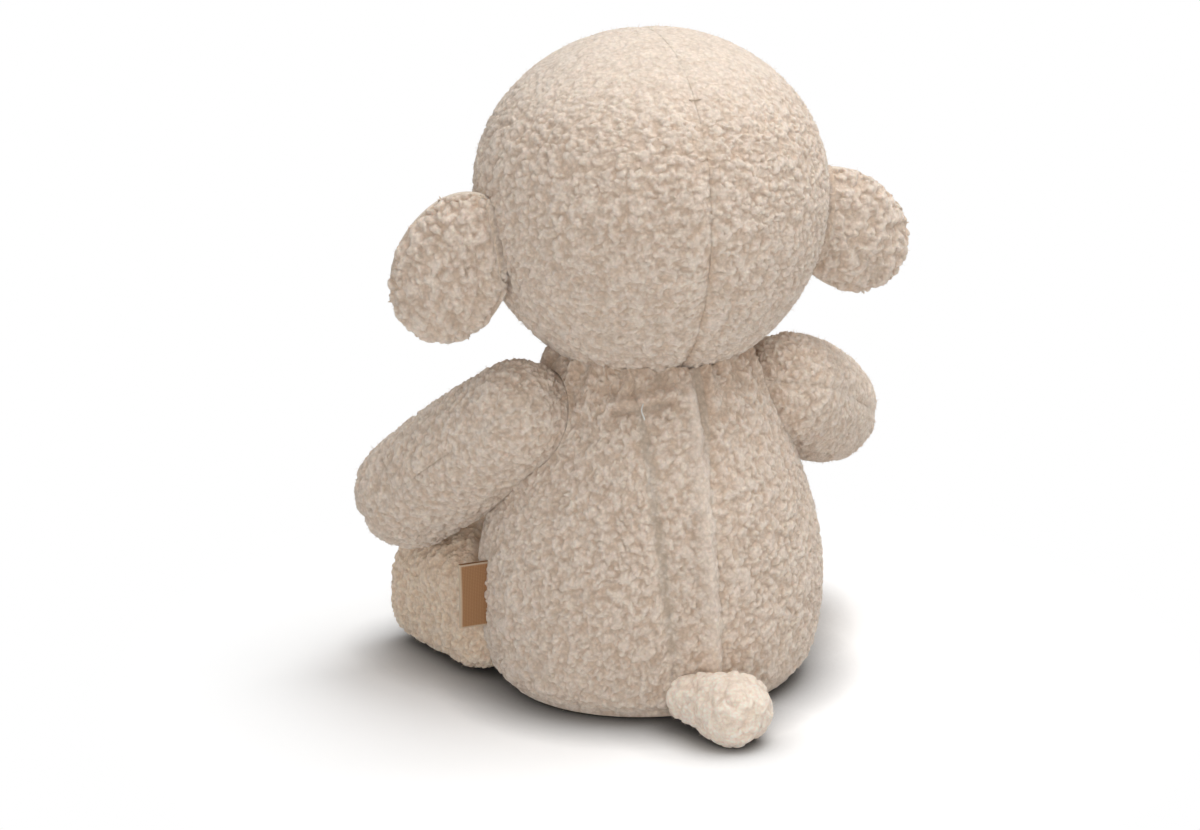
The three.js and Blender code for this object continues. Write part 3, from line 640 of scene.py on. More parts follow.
def fibres(points, normals, mask, look, seed):
    """Fine fibres that stand out of the pile: three-sided spikes with a bend half way. Their roots are drawn
    at random, as many on each part of the grid as it has area. Gives corners, faces, their places on a
    flat picture, and each corner's brightness, darker towards the root as painted shade."""
    corner = points[:-1, :-1]
    area = np.linalg.norm(np.cross(points[1:, :-1] - corner, points[:-1, 1:] - corner), axis=-1)
    area = area * mask[:-1, :-1]
    count = int(area.sum() * look.fibres * 1e4 * (1))
    draw = np.random.RandomState(seed)
    chosen = draw.choice(area.size, count, p=area.ravel() / area.sum())
    i, j = np.unravel_index(chosen, area.shape)
    s, t = draw.rand(2, count, 1)
    root = corner[i, j] + s * (points[i + 1, j] - corner[i, j]) + t * (points[i, j + 1] - corner[i, j])
    up = normals[i, j]
    lean = unit(draw.normal(size=(count, 3)))
    span = look.fibre_length * (FIBRE_LEAST + (1 - FIBRE_LEAST) * draw.rand(count, 1))
    first = unit(up + FIBRE_LEAN * lean)
    second = unit(first + FIBRE_TURN * unit(draw.normal(size=(count, 3))) + FIBRE_RISE * up)
    side = unit(np.cross(first, unit(draw.normal(size=(count, 3)))))
    other = np.cross(first, side)
    ring = ring_about(side, other, FIBRE_SIDES)
    root = root - up * look.fibre_width
    bend = root + first * span * 0.5
    corners = np.concatenate([
        root[:, None] + ring * look.fibre_width / 2,
        bend[:, None] + ring * look.fibre_width * FIBRE_BEND_WIDTH,
        (bend + second * span * 0.5)[:, None],
    ], 1)
    faces, places = [(0, 2, 1)], [((0, 0.92), (0.3, 0.92), (0.15, 1))]
    for k in range(FIBRE_SIDES):
        after = (k + 1) % FIBRE_SIDES
        left, right = k / FIBRE_SIDES, (k + 0.9) / FIBRE_SIDES
        faces += [(k, after, 3 + after), (k, 3 + after, 3 + k), (3 + k, 3 + after, 6)]
        places += [((left, 0), (right, 0), (right, 0.5)), ((left, 0), (right, 0.5), (left, 0.5)),
                   ((left, 0.5), (right, 0.5), ((left + right) / 2, 0.9))]
    own = np.arange(count)[:, None, None] * corners.shape[1]
    columns = math.ceil(math.sqrt(count / MAP_FIBRES_ROWS))
    rows = math.ceil(count / columns)
    cell = np.stack([np.arange(count) % columns, np.arange(count) // columns], -1)[:, None, None]
    flat = (cell + np.array(places)) / np.array([columns, rows])
    flat = flat * np.array([1, MAP_FIBRES_TALL]) + np.array([0, MAP_FIBRES_LOW])
    bright = np.tile(np.repeat(FIBRE_PAINTED_SHADE, (FIBRE_SIDES, FIBRE_SIDES, 1)), count)
    return corners.reshape(-1, 3), (own + np.array(faces)).reshape(-1, 3), flat.reshape(-1, 3, 2), bright


# Pile of smooth plush and of a panel's inner side, and the tone that leaves the colour as it is.
SMOOTH_PILE = 0.6
INNER_PILE = 0.5
PLAIN_TONE = 0.5

# Noise between which the crease of a seam goes from hidden to shown, how much its width varies, the share
# of the cloth's depth that the pile can be pressed down by, and the height below which no fibre grows.
CREASE_HIDDEN = -0.35
CREASE_SHOWN = 0.3
CREASE_VARIES = 0.5
DEEPEST_SHARE = 0.94
FIBRES_ABOVE = 0.0015


def sewn_panel(name, surface, sizes, inside, seams, look, finish, kept=None, fold=None, poles=(),
               floor=None, smooth=False, coarser=1.0, curl_share=1.0, depth_share=1.0,
               seam_depth=None, crease_depth=None):
    """A panel of cloth on a form. surface gives the form's points from two parameters, over about the two
    sizes. seams and poles name the sides that are sewn and those that shrink to a point: u0, u1, v0 and v1.
    The pile's height is its depth times its share less one, plus what stands proud. Towards a seam the
    pile is pressed and dips by a bell curve of the distance, and in the seam lies a narrow crease, which
    comes and goes, with painted shade in its colour. kept gives from 0 to 1 how much of all this is kept at
    each point. fold gives a height that is added to it, how much flatter the pile lies there, and how much
    painted light or shade it puts in the pile's colour. A smooth inner side closes the panel, and nothing
    reaches below the floor."""
    step = look.step * coarser * 1
    across, along = steps_for(sizes[0], step), steps_for(sizes[1], step)
    points = surface(*unit_grid(across, along))
    normal = grid_normals(points, inside)
    sides = {"u0": np.s_[0], "u1": np.s_[-1], "v0": np.s_[:, 0], "v1": np.s_[:, -1]}
    ends = [sides[pole] for pole in poles]
    for end in ends:
        points[end] = points[end].reshape(-1, 3).mean(0)
        normal[end] = unit(normal[end].reshape(-1, 3).mean(0))
    keep = kept(points) if kept else np.ones(points.shape[:-1])
    edge = seam_distance(points, seams)
    wander = soft_noise(points, look.curl * 2, CREASE_WANDER)[..., 0]
    valley = np.exp(-(edge / look.seam_width) ** 2)
    crease = 1 - smooth_step(edge, 0, look.crease_width * (1 + CREASE_VARIES * wander))
    stretches = soft_noise(points, look.stretch, CREASE_STRETCHES)[..., 0]
    crease = crease * smooth_step(stretches, CREASE_HIDDEN, CREASE_SHOWN)
    dip = (seam_depth or look.seam_depth) * valley + (crease_depth or look.crease_depth) * crease
    if smooth:
        pile, tone = np.full(edge.shape, SMOOTH_PILE), np.full(edge.shape, PLAIN_TONE)
        relief = np.zeros(edge.shape)
    else:
        pile, tone = fleece(points, normal, look, curl_share)
        relief = look.depth * depth_share * (pile - 1) + look.proud
    lump = look.lump * soft_noise(points, look.lump_size, LUMPS)[..., 0]
    added, flattened, paler = fold(points) if fold else (0.0, 0.0, 0.0)
    height = keep * (relief * (1 - look.seam_pressed * valley) * (1 - flattened) + lump - dip) + added
    height = np.maximum(height, -look.cloth * DEEPEST_SHARE)
    outer = points + normal * height[..., None]
    inner = (points - normal * look.cloth)[::COARSE, ::COARSE]
    if floor is not None:
        outer[..., 2] = np.maximum(outer[..., 2], floor)
        inner[..., 2] = np.maximum(inner[..., 2], floor + look.cloth / 2)
    for shape in (outer, inner):
        for end in ends:
            shape[end] = shape[end].reshape(-1, 3).mean(0)
    corners, faces = closed_shell(outer, inner)
    places = shell_map(outer.shape[:2], inner.shape[:2], faces)
    # The pile attribute sets the colour from crevice to tip, so the crevices get painted shade; the seam's
    # crease gets more painted shade, and the fold's painted light or shade is added.
    shade = np.clip(pile * (1 - look.seam_painted_shade * crease) + paler, 0, 1)
    shade = np.append(shade, np.full(inner.shape[:2], INNER_PILE))
    tones = np.append(tone, np.full(inner.shape[:2], PLAIN_TONE))
    if not smooth and look.fibres > 0:
        mask = keep * (outer[..., 2] > FIBRES_ABOVE)
        more = fibres(outer, normal, mask, look, sum(map(ord, name)))
        faces = np.concatenate([faces, more[1] + len(corners)])
        corners = np.concatenate([corners, more[0]])
        places = np.concatenate([places, more[2]])
        shade = np.append(shade, more[3])
        tones = np.append(tones, np.full(len(more[3]), FIBRE_TONE))
    return new_piece(name, corners, faces, finishes(look)[finish], {"pile": shade, "tone": tones}, places)


def seat(points, middle, radius, outwards):
    """Sinks what lies inside a ball onto the ball's far side, seen from the ball's outermost point. Each
    point goes on along its line from there until it meets the ball again."""
    top = middle + outwards * radius
    line = points - top
    reach = -2 * radius * (line @ outwards) / np.maximum((line ** 2).sum(-1), TINY)
    within = ((points - middle) ** 2).sum(-1) < radius ** 2
    return np.where(within[..., None], top + line * np.maximum(reach, 1)[..., None], points)


def inside_ball(points, middle, radius, soft):
    """1 outside a ball, 0 inside it, with a soft step between."""
    return smooth_step(np.linalg.norm(points - middle, axis=-1), radius, radius + soft)


def shell_piece(name, points, normal, above, below, look, finish, values=None):
    """A closed piece between two surfaces, above and below the points along their normals. values gives a
    number at each point for each name, and it is 0 on the lower side."""
    outer = points + normal * above
    inner = (points - normal * below)[::COARSE, ::COARSE]
    corners, faces = closed_shell(outer, inner)
    places = shell_map(outer.shape[:2], inner.shape[:2], faces)
    values = {key: np.append(value, np.zeros(inner.shape[:2])) for key, value in (values or {}).items()}
    return new_piece(name, corners, faces, finishes(look)[finish], values, places)


# Forms.

def smooth_profile(shares, count=600):
    """A smooth curve through the profile's points, by the Catmull-Rom rule: each stretch leaves and meets its
    ends along the line between their neighbours."""
    ends = np.concatenate([2 * shares[:1] - shares[1:2], shares, 2 * shares[-1:] - shares[-2:-1]])
    place = np.linspace(0, len(shares) - 1, count)
    k = np.minimum(place.astype(int), len(shares) - 2)
    t = (place - k)[:, None]
    p0, p1, p2, p3 = (ends[k + i] for i in range(4))
    return 0.5 * (2 * p1 + (p2 - p0) * t + (2 * p0 - 5 * p1 + 4 * p2 - p3) * t ** 2
                  + (3 * p1 - p0 - 3 * p2 + p3) * t ** 3)


def by_length(curve):
    """The same curve, with its points as shares of its length."""
    lengths = np.concatenate([[0], np.cumsum(np.linalg.norm(np.diff(curve, axis=0), axis=1))])
    return lengths / lengths[-1], lengths[-1]


def head_middle():
    """The head's middle, about which it turns and nods."""
    return np.array(JOINTS["head_nod"]["pos_m"])


def muzzle_bell(x, z, head):
    """How far the muzzle stands out at each place across and up: a bell curve both ways."""
    across, up = x / head.muzzle_half_width, (z + head.muzzle_drop) / head.muzzle_half_height
    return head.muzzle_rise * np.exp(-across ** 2 - up ** 2)


def on_head(direction, head):
    """Points of the head in given directions: a ball drawn out below and fuller above, with a muzzle set
    on its front by a bell curve."""
    level = np.abs(direction[..., 2])
    around = np.hypot(direction[..., 0], direction[..., 1])
    above = direction[..., 2] > 0
    fullness = np.where(above, head.top_fullness, 2.0)
    size = 1 / (level ** fullness + around ** fullness) ** (1 / fullness)
    x = direction[..., 0] * size * head.half_width
    y = direction[..., 1] * size * head.half_depth
    z = direction[..., 2] * size * np.where(above, head.rise, head.drop)
    muzzle = smooth_step(-direction[..., 1], 0, head.muzzle_blend) * muzzle_bell(x, z, head)
    return np.stack([x, y - muzzle, z], -1) + head_middle()


def head_front(x, z, head):
    """Points of the head's front at given places across and up, by the same rule solved for depth."""
    above = z > 0
    fullness = np.where(above, head.top_fullness, 2.0)
    level = np.abs(z) / np.where(above, head.rise, head.drop)
    around = (1 - level ** fullness) ** (1 / fullness)
    depth = np.sqrt(np.maximum(around ** 2 - (x / head.half_width) ** 2, 0))
    muzzle = smooth_step(depth, 0, head.muzzle_blend) * muzzle_bell(x, z, head)
    return np.stack([x, -head.half_depth * depth - muzzle, z], -1) + head_middle()


def outside_head(points, head, clearance):
    """Moves what lies inside the head straight out from its middle to its surface, plus a clearance."""
    line = points - head_middle()
    reach = np.linalg.norm(line, axis=-1)
    scaled = line / np.array([head.half_width, head.half_depth, head.drop])
    direction = unit(scaled)
    surface = on_head(direction, head) - head_middle()
    limit = np.linalg.norm(surface, axis=-1) + clearance
    return head_middle() + line * (np.maximum(reach, limit) / np.maximum(reach, 1e-9))[..., None]


def body_side(body):
    """Heights and half widths of the body's side, as a smooth curve."""
    return smooth_profile(BODY_PROFILE_SHARES) * np.array([body.top, body.half_width])


def body_press(height, body):
    """Depth of the body's section as a share of its width, which goes by a smooth step from the body's own
    below to 1 at the neck."""
    pressed = body.half_depth / body.half_width
    return pressed + (1 - pressed) * smooth_step(height / body.top, body.round_from, body.round_to)


def on_body(angle, height, width, body):
    """Points of the body: a turned pear, pressed flatter front to back below its round neck."""
    press = body_press(height, body)
    return np.stack([width * np.cos(angle), width * np.sin(angle) * press, height], -1)


def outside_body(points, body, soft):
    """0 inside the body's form and 1 outside it, with a soft step between."""
    side = body_side(body)
    width = np.interp(points[..., 2], side[:, 0], side[:, 1])
    reach = np.hypot(points[..., 0], points[..., 1] / body_press(points[..., 2], body))
    return smooth_step(reach - width, -soft / 2, soft)


def limb_axes(joint_name, droop=0.0):
    """Where a limb turns, and its three directions: its hinge, along it and above it."""
    joint = JOINTS[joint_name]
    hinge = np.array(joint["axis"])
    level = np.array([-hinge[1], hinge[0], 0.0])
    along = level * math.cos(droop) - np.array([0, 0, 1.0]) * math.sin(droop)
    return np.array(joint["pos_m"]), np.stack([hinge, along, np.cross(hinge, along)])


def round_ended(root, tip, reach, swell, count=400):
    """Side of a limb from pole to pole: a ball at the root, a side that swells, and a ball at the tip."""
    back = np.linspace(-np.pi / 2, 0, count)
    front = np.linspace(0, np.pi / 2, count)
    t = np.linspace(0, 1, count)[1:-1]
    side = root + (tip - root) * smooth_step(t, 0, 1) + swell * np.sin(np.pi * t)
    return np.concatenate([
        np.stack([root * np.sin(back), root * np.cos(back)], -1),
        np.stack([t * reach, side], -1),
        np.stack([reach + tip * np.sin(front), tip * np.cos(front)], -1),
    ])


def turned(side, pivot, axes, first_turn, turn, fuller=None):
    """A surface turned from a limb's side: along it from the root's pole, and about it from the first turn
    on. fuller changes its section."""
    places = by_length(side)[0]

    def surface(u, v):
        """Rings about the limb, at even lengths along its side."""
        along = np.interp(v, places, side[:, 0])
        radius = np.interp(v, places, side[:, 1])
        angle = first_turn + turn * u
        local = np.stack([radius * np.cos(angle), along, radius * np.sin(angle)], -1)
        return pivot + (fuller(local) if fuller else local) @ axes
    return surface


# Finishes.

class Finish:
    """A material whose nodes are added one after the other."""

    def __init__(self, name):
        self.material = bpy.data.materials.new(name)
        self.material.use_nodes = True
        self.tree = self.material.node_tree
        self.shader = self.tree.nodes["Principled BSDF"]

    def node(self, kind, inputs=None, **settings):
        """A new node, with its settings, and each input linked or set."""
        node = self.tree.nodes.new(kind)
        for key, value in settings.items():
            setattr(node, key, value)
        for key, value in (inputs or {}).items():
            if isinstance(value, bpy.types.NodeSocket):
                self.tree.links.new(value, node.inputs[key])
            else:
                node.inputs[key].default_value = value
        return node

    def link(self, output, name):
        """Leads an output to one of the shader's inputs."""
        self.tree.links.new(output, self.shader.inputs[name])

    def set(self, **values):
        """Sets the shader's own values."""
        for name, value in values.items():
            self.shader.inputs[name.replace("_", " ")].default_value = value

    def mix(self, factor, first, second, blend="MIX"):
        """Two colours mixed or multiplied."""
        inputs = {0: factor, 6: first, 7: second}
        return self.node("ShaderNodeMix", inputs, data_type="RGBA", blend_type=blend).outputs[2]

    def place(self):
        """The place on the piece, in metres."""
        return self.node("ShaderNodeTexCoord").outputs["Object"]

    def noise(self, place, scale, detail, output="Fac", **more):
        """Noise of so many waves to the metre, with so many finer ones on it."""
        inputs = {"Vector": place, "Scale": scale, "Detail": detail, **more}
        return self.node("ShaderNodeTexNoise", inputs).outputs[output]

    def bump(self, height, strength, distance):
        """Fine relief from a height, so many metres deep."""
        node = self.node("ShaderNodeBump", {"Height": height, "Strength": strength, "Distance": distance})
        self.link(node.outputs["Normal"], "Normal")


def rgba(rgb, strength=1.0):
    """A colour with all its channels times a strength, for a socket."""
    return tuple(channel * strength for channel in rgb) + (1.0,)


def grey(level):
    """An even grey for a socket."""
    return rgba((level, level, level))


# The pile's height at which the fleece has all its crevice colour, which is painted shade, and all its tip
# colour.
DARKEST_PILE = 0.15
PALEST_PILE = 0.95


def fleece_finish(name, look, brightness=1.0, tint=(1.0, 1.0, 1.0)):
    """Curly fleece: pale tips over warm crevices by the pile's height, where the darker crevice colour is
    painted shade, times a tone for each curl, times fine strands: smooth cells under two millimetres wide,
    bent by noise, with finer noise, in bump and colour, whose paler middles are painted highlights.
    brightness and tint give copies painted with more or warmer light."""
    finish = Finish(name)
    place = finish.place()
    pile = finish.node("ShaderNodeAttribute", attribute_name="pile").outputs["Fac"]
    tone = finish.node("ShaderNodeAttribute", attribute_name="tone").outputs["Fac"]
    depth = finish.node(
        "ShaderNodeMapRange", {"Value": pile, "From Min": DARKEST_PILE, "From Max": PALEST_PILE},
        interpolation_type="SMOOTHSTEP",
    ).outputs["Result"]
    # Painted shade: the crevice colour darkens the fleece where the pile is low, down between the curls.
    low, high = (tuple(np.array(rgb) * tint) for rgb in (look.crevice, look.tip))
    base = finish.mix(depth, rgba(low, brightness), rgba(high, brightness))
    tone_colour = finish.mix(tone, (0.90, 0.885, 0.87, 1), (1.08, 1.085, 1.09, 1))
    toned = finish.mix(1.0, base, tone_colour, "MULTIPLY")
    stray = finish.noise(place, 420.0, 2.0, "Color")
    bent = finish.node(
        "ShaderNodeVectorMath", {0: stray, 1: (0.0024, 0.0024, 0.0024), 2: place}, operation="MULTIPLY_ADD",
    ).outputs["Vector"]
    strand = finish.node(
        "ShaderNodeTexVoronoi", {"Vector": bent, "Scale": 620.0, "Smoothness": 0.5}, feature="SMOOTH_F1",
    ).outputs["Distance"]
    fuzz = finish.noise(place, 2400.0, 3.0, Roughness=0.7)
    # Painted highlights on the strands: each strand's middle is paler and its edge darker.
    strand_painted_highlight = finish.mix(strand, grey(1.13), (0.80, 0.775, 0.745, 1))
    fuzz_colour = finish.mix(fuzz, (0.90, 0.89, 0.88, 1), grey(1.1))
    stranded = finish.mix(1.0, toned, strand_painted_highlight, "MULTIPLY")
    finish.link(finish.mix(1.0, stranded, fuzz_colour, "MULTIPLY"), "Base Color")
    height = finish.node("ShaderNodeMath", {0: strand, 1: -0.8, 2: fuzz}, operation="MULTIPLY_ADD").outputs[0]
    finish.bump(height, 0.8, 0.0007)
    finish.set(Roughness=0.95, Specular_IOR_Level=0.12, Sheen_Weight=0.35, Sheen_Roughness=0.45)
    finish.set(Subsurface_Weight=0.25, Subsurface_Scale=0.0018)
    finish.shader.inputs["Subsurface Radius"].default_value = (1.0, 0.7, 0.5)
    finish.shader.inputs["Sheen Tint"].default_value = (1.0, 0.95, 0.9, 1)
    return finish.material


def smooth_plush_finish(name, look):
    """Short plush: an even colour with soft patches where the nap turns, and a fine nap in bump."""
    finish = Finish(name)
    place = finish.place()
    patches = finish.noise(place, 90.0, 3.0)
    nap = finish.noise(place, 1800.0, 4.0, Roughness=0.7)
    patched = finish.mix(patches, rgba(look.smooth, 0.9), rgba(look.smooth, 1.05))
    grain = finish.mix(nap, (0.86, 0.85, 0.83, 1), grey(1.1))
    finish.link(finish.mix(1.0, patched, grain, "MULTIPLY"), "Base Color")
    finish.bump(nap, 0.6, 0.0004)
    finish.set(Roughness=0.9, Specular_IOR_Level=0.15, Sheen_Weight=0.5, Sheen_Roughness=0.4)
    return finish.material


def stuffing_finish(name, rgb, scale):
    """Loose fibre or tight cotton: a soft uneven white with a fibrous bump."""
    finish = Finish(name)
    wisps = finish.noise(finish.place(), scale, 6.0, Distortion=3.0)
    finish.link(finish.mix(wisps, rgba(rgb, 0.85), rgba(rgb, 1.05)), "Base Color")
    finish.bump(wisps, 0.5, 0.001)
    finish.set(Roughness=1.0)
    return finish.material


def ribbon_finish(name):
    """Woven ribbon: fine crossing threads of two near browns, paler at its edges, with a painted highlight
    along its fold.
    """
    finish = Finish(name)
    place = finish.place()
    weft, warp = (
        finish.node(
            "ShaderNodeTexWave", {"Vector": place, "Scale": scale, "Distortion": 0.6}, bands_direction=way,
        ).outputs["Fac"]
        for scale, way in ((480.0, "Z"), (420.0, "X"))
    )
    threads = finish.node("ShaderNodeMath", {0: weft, 1: warp}, operation="MULTIPLY").outputs[0]
    edge = finish.node("ShaderNodeAttribute", attribute_name="edge").outputs["Fac"]
    body = finish.mix(threads, (0.33, 0.16, 0.065, 1), (0.50, 0.27, 0.12, 1))
    finish.link(finish.mix(edge, body, (0.60, 0.47, 0.34, 1)), "Base Color")
    finish.bump(threads, 0.5, 0.0003)
    finish.set(Roughness=0.62, Sheen_Weight=0.15)
    return finish.material


def thread_finish(name, dark, light):
    """Embroidery or sewing thread: strands of two near colours with a soft gloss."""
    finish = Finish(name)
    strands = finish.noise(finish.place(), 1400.0, 2.0)
    finish.link(finish.mix(strands, rgba(dark), rgba(light)), "Base Color")
    finish.set(Roughness=0.5, Sheen_Weight=0.2)
    return finish.material


def finishes(look):
    """Every finish of the sheep, made once."""
    if "Curly fleece" not in bpy.data.materials:
        fleece_finish("Curly fleece", look)
        # A copy of the fleece with painted light, paler, for the light that falls on the tail's top.
        fleece_finish("Pale fleece", look, 1.22)
        # A copy of the fleece with painted warm light, brighter and warmer, for the light that bounces
        # between arm and leg.
        fleece_finish("Warm fleece", look, 1.06, (1.04, 1.0, 0.93))
        smooth_plush_finish("Smooth plush", look)
        stuffing_finish("Stuffing", (0.86, 0.85, 0.82), 260.0)
        stuffing_finish("Pellet bag cotton", (0.78, 0.74, 0.67), 700.0)
        ribbon_finish("Brown ribbon")
        thread_finish("Dark thread", (0.035, 0.02, 0.013), (0.085, 0.05, 0.033))
        thread_finish("White thread", (0.70, 0.68, 0.64), (0.88, 0.87, 0.84))
    return bpy.data.materials


def settle(piece, body, slot, *nodes, fill=None, bend=None):
    """Sets a finished piece on its body, in the place of its CAD nodes, which it hides. Given a bend, the
    piece is not set on its body: its place is baked into its corners, and what bend holds is not used, so
    the piece does not bend."""
    if bend is None:
        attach(piece, body)
    else:
        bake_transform(piece)
    if nodes:
        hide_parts(*nodes)


# Pieces.

ALL_ROUND = ("u0", "u1", "v0", "v1")

# Where the fleece of the head starts and ends to lie down at the face panel, as shares of its half sizes.
FACE_EDGE_SHARES = (0.985, 1.04)


class SHEEP_OT_head(bpy.types.Operator):
    """Make the left and right fleece panels of the head, which meet in a seam from brow to nape."""
    bl_idname = "sheep.make_head"
    bl_label = "Make the head"

    def execute(self, context):
        head, look = context.scene.sheep_head, context.scene.sheep_fleece
        middle = head_middle()
        half_round = math.pi * (head.half_depth + head.half_width) / 2

        def face_sink(points):
            """1 inside the face panel's outline, where the pile gives way to it, and 0 outside."""
            x, y, z = np.moveaxis(points - middle, -1, 0)
            inside = np.hypot(x / head.face_half_width, (z + head.face_drop) / head.face_half_height)
            return np.where(y < 0, 1 - smooth_step(inside, *FACE_EDGE_SHARES), 0.0)

        def crown(points):
            """0 low on the head and 1 on the crown, where the pile lies flatter and gets a painted highlight.
            """
            return smooth_step((points[..., 2] - middle[2]) / head.rise, head.crown_from, head.crown_to)

        def kept(points):
            """How much pile there is: none under the face panel, and less on the crown."""
            return (1 - face_sink(points)) * (1 - head.crown_pressed * crown(points))

        def fold(points):
            """The hollow under the face panel, and painted light and shade in the pile's colour: a painted
            highlight on the crown, and below it sparse dimples of painted shade along the seam, each a bell
            curve of the distance from it."""
            sparse = smooth_step(soft_noise(points, look.dimple_size, DIMPLES)[..., 0], 0.0, 0.4)
            dimples = sparse * np.exp(-(points[..., 0] / look.dimple_width) ** 2)
            # Painted highlight on the crown, less painted shade in the dimples along the seam.
            paler = head.crown_painted_highlight * crown(points) - head.dimple_painted_shade * (1 - crown(points)) * dimples
            return -(look.cloth + head.face_clearance) * face_sink(points), 0.0, paler

        for side, name in ((1, "left"), (-1, "right")):
            def surface(u, v, side=side):
                """A half ball about the ear, on an even map of the square, drawn onto the head's form."""
                radius, angle = square_to_disc(u, v)
                polar = radius * np.pi / 2
                direction = np.stack([
                    side * np.maximum(np.cos(polar), 0),
                    np.sin(polar) * np.cos(angle),
                    np.sin(polar) * np.sin(angle),
                ], -1)
                return on_head(unit(direction), head)

            piece = sewn_panel(
                f"{name}_head_fleece", surface, (half_round, half_round), middle, ALL_ROUND, look,
                "Curly fleece", kept, fold, depth_share=head.depth_share,
                seam_depth=head.seam_depth, crease_depth=head.crease_depth,
            )
            settle(piece, "head", "curly_fleece", f"head_{name}_panel", fill=0.8)
        return {"FINISHED"}


# How much wider the mesh step is on the smooth face, which has no curls.
SMOOTH_COARSER = 1.3

# The nose's width at half its height, and what it gains up to its top. The mouth's lines keep their width
# but for their ends: one less their place to this power, and no less than this share before its root.
NOSE_MIDDLE_SHARE = 0.62
NOSE_SPREAD_SHARE = 0.38
MOUTH_END_POWER = 8
MOUTH_END_SHARE = 0.05


class SHEEP_OT_face(bpy.types.Operator):
    """Make the smooth face panel and its embroidered eyes, nose and mouth."""
    bl_idname = "sheep.make_face"
    bl_label = "Make the face"

    def execute(self, context):
        head, look = context.scene.sheep_head, context.scene.sheep_fleece

        def face(u, v):
            """An oval on the head's front."""
            radius, angle = square_to_disc(u, v)
            return head_front(
                radius * np.cos(angle) * (head.face_half_width - head.face_clearance),
                radius * np.sin(angle) * (head.face_half_height - head.face_clearance) - head.face_drop, head,
            )

        piece = sewn_panel(
            "smooth_face", face, (2 * head.face_half_width, 2 * head.face_half_height), head_middle(),
            ALL_ROUND, look, "Smooth plush", smooth=True, coarser=SMOOTH_COARSER,
        )
        settle(piece, "head", "smooth_plush", "face_panel", fill=0.8)

        for side, name in ((1, "left"), (-1, "right")):
            def eye(u, v, side=side):
                """A small upright oval."""
                radius, angle = square_to_disc(u, v)
                return (side * head.eye_spread + radius * np.cos(angle) * head.eye_half_width,
                        head.eye_rise + radius * np.sin(angle) * head.eye_half_height)

            piece = satin_stitch(f"{name}_eye", eye, head, look)
            settle(piece, "head", "embroidery_thread", f"{name}_eye_embroidery")

        def nose(u, v):
            """A rounded triangle, wide side up."""
            radius, angle = square_to_disc(u, v)
            up = radius * np.sin(angle)
            wide = NOSE_MIDDLE_SHARE + NOSE_SPREAD_SHARE * up
            return (radius * np.cos(angle) * head.nose_half_width * wide,
                    -head.nose_top_drop - head.nose_height / 2 * (1 - up))

        def mouth_line(x0, z0, x1, z1):
            """A stitched line from one place on the face to another, with rounded ends."""
            size = math.hypot(x1 - x0, z1 - z0)

            def line(u, v):
                """From one end to the other, and across by the line's width."""
                ends = np.clip(1 - (2 * v - 1) ** MOUTH_END_POWER, MOUTH_END_SHARE, 1)
                across = (2 * u - 1) * head.mouth_width / 2 * np.sqrt(ends)
                return (x0 + (x1 - x0) * v - (z1 - z0) / size * across,
                        z0 + (z1 - z0) * v + (x1 - x0) / size * across)
            return line

        piece = satin_stitch("nose_and_mouth", nose, head, look)
        parts = [piece]
        foot = -head.nose_top_drop - head.nose_height - head.mouth_drop
        lines = [(0.0, foot + head.mouth_drop, 0.0, foot)]
        lines += [(0.0, foot, side * head.mouth_half_width, foot + head.mouth_rise) for side in (1, -1)]
        for count, ends in enumerate(lines):
            parts.append(satin_stitch(f"mouth_line_{count}", mouth_line(*ends), head, look))
        with bpy.context.temp_override(active_object=piece, selected_editable_objects=parts):
            bpy.ops.object.join()
        settle(piece, "head", "embroidery_thread", "nose_embroidery")
        return {"FINISHED"}


# Steps across a piece of embroidery, how high its edge stands, how much less than the full rise its dome
# adds to that, and how far and over what length the rows of stitches sway.
STITCH_STEPS = 72
STITCH_EDGE = 0.0001
STITCH_LESS = 0.0003
STITCH_SWAY = 0.6
STITCH_SWAY_LENGTH = 0.002


def satin_stitch(name, outline, head, look):
    """Embroidery on the face: over its outline a low dome, the square root of one less the fourth power of
    the way out, ridged by the sine of the place across its threads, and closed below."""
    u, v = unit_grid(STITCH_STEPS, STITCH_STEPS)
    x, z = outline(u, v)
    points = head_front(x, z, head)
    normal = grid_normals(points, head_middle())
    way_out = np.maximum(np.abs(2 * u - 1), np.abs(2 * v - 1))
    dome = np.sqrt(np.clip(1 - way_out ** 4, 0, 1))
    threads = np.sin(x / head.thread_pitch * 2 * np.pi + STITCH_SWAY * np.sin(z / STITCH_SWAY_LENGTH))
    rise = STITCH_EDGE + (head.thread_rise - STITCH_LESS + head.thread_relief * threads) * dome
    return shell_piece(name, points, normal, rise[..., None], head.thread_sink, look, "Dark thread")


# Length over an ear from edge to edge, in half widths or half heights.
OVER_EAR = 2.6


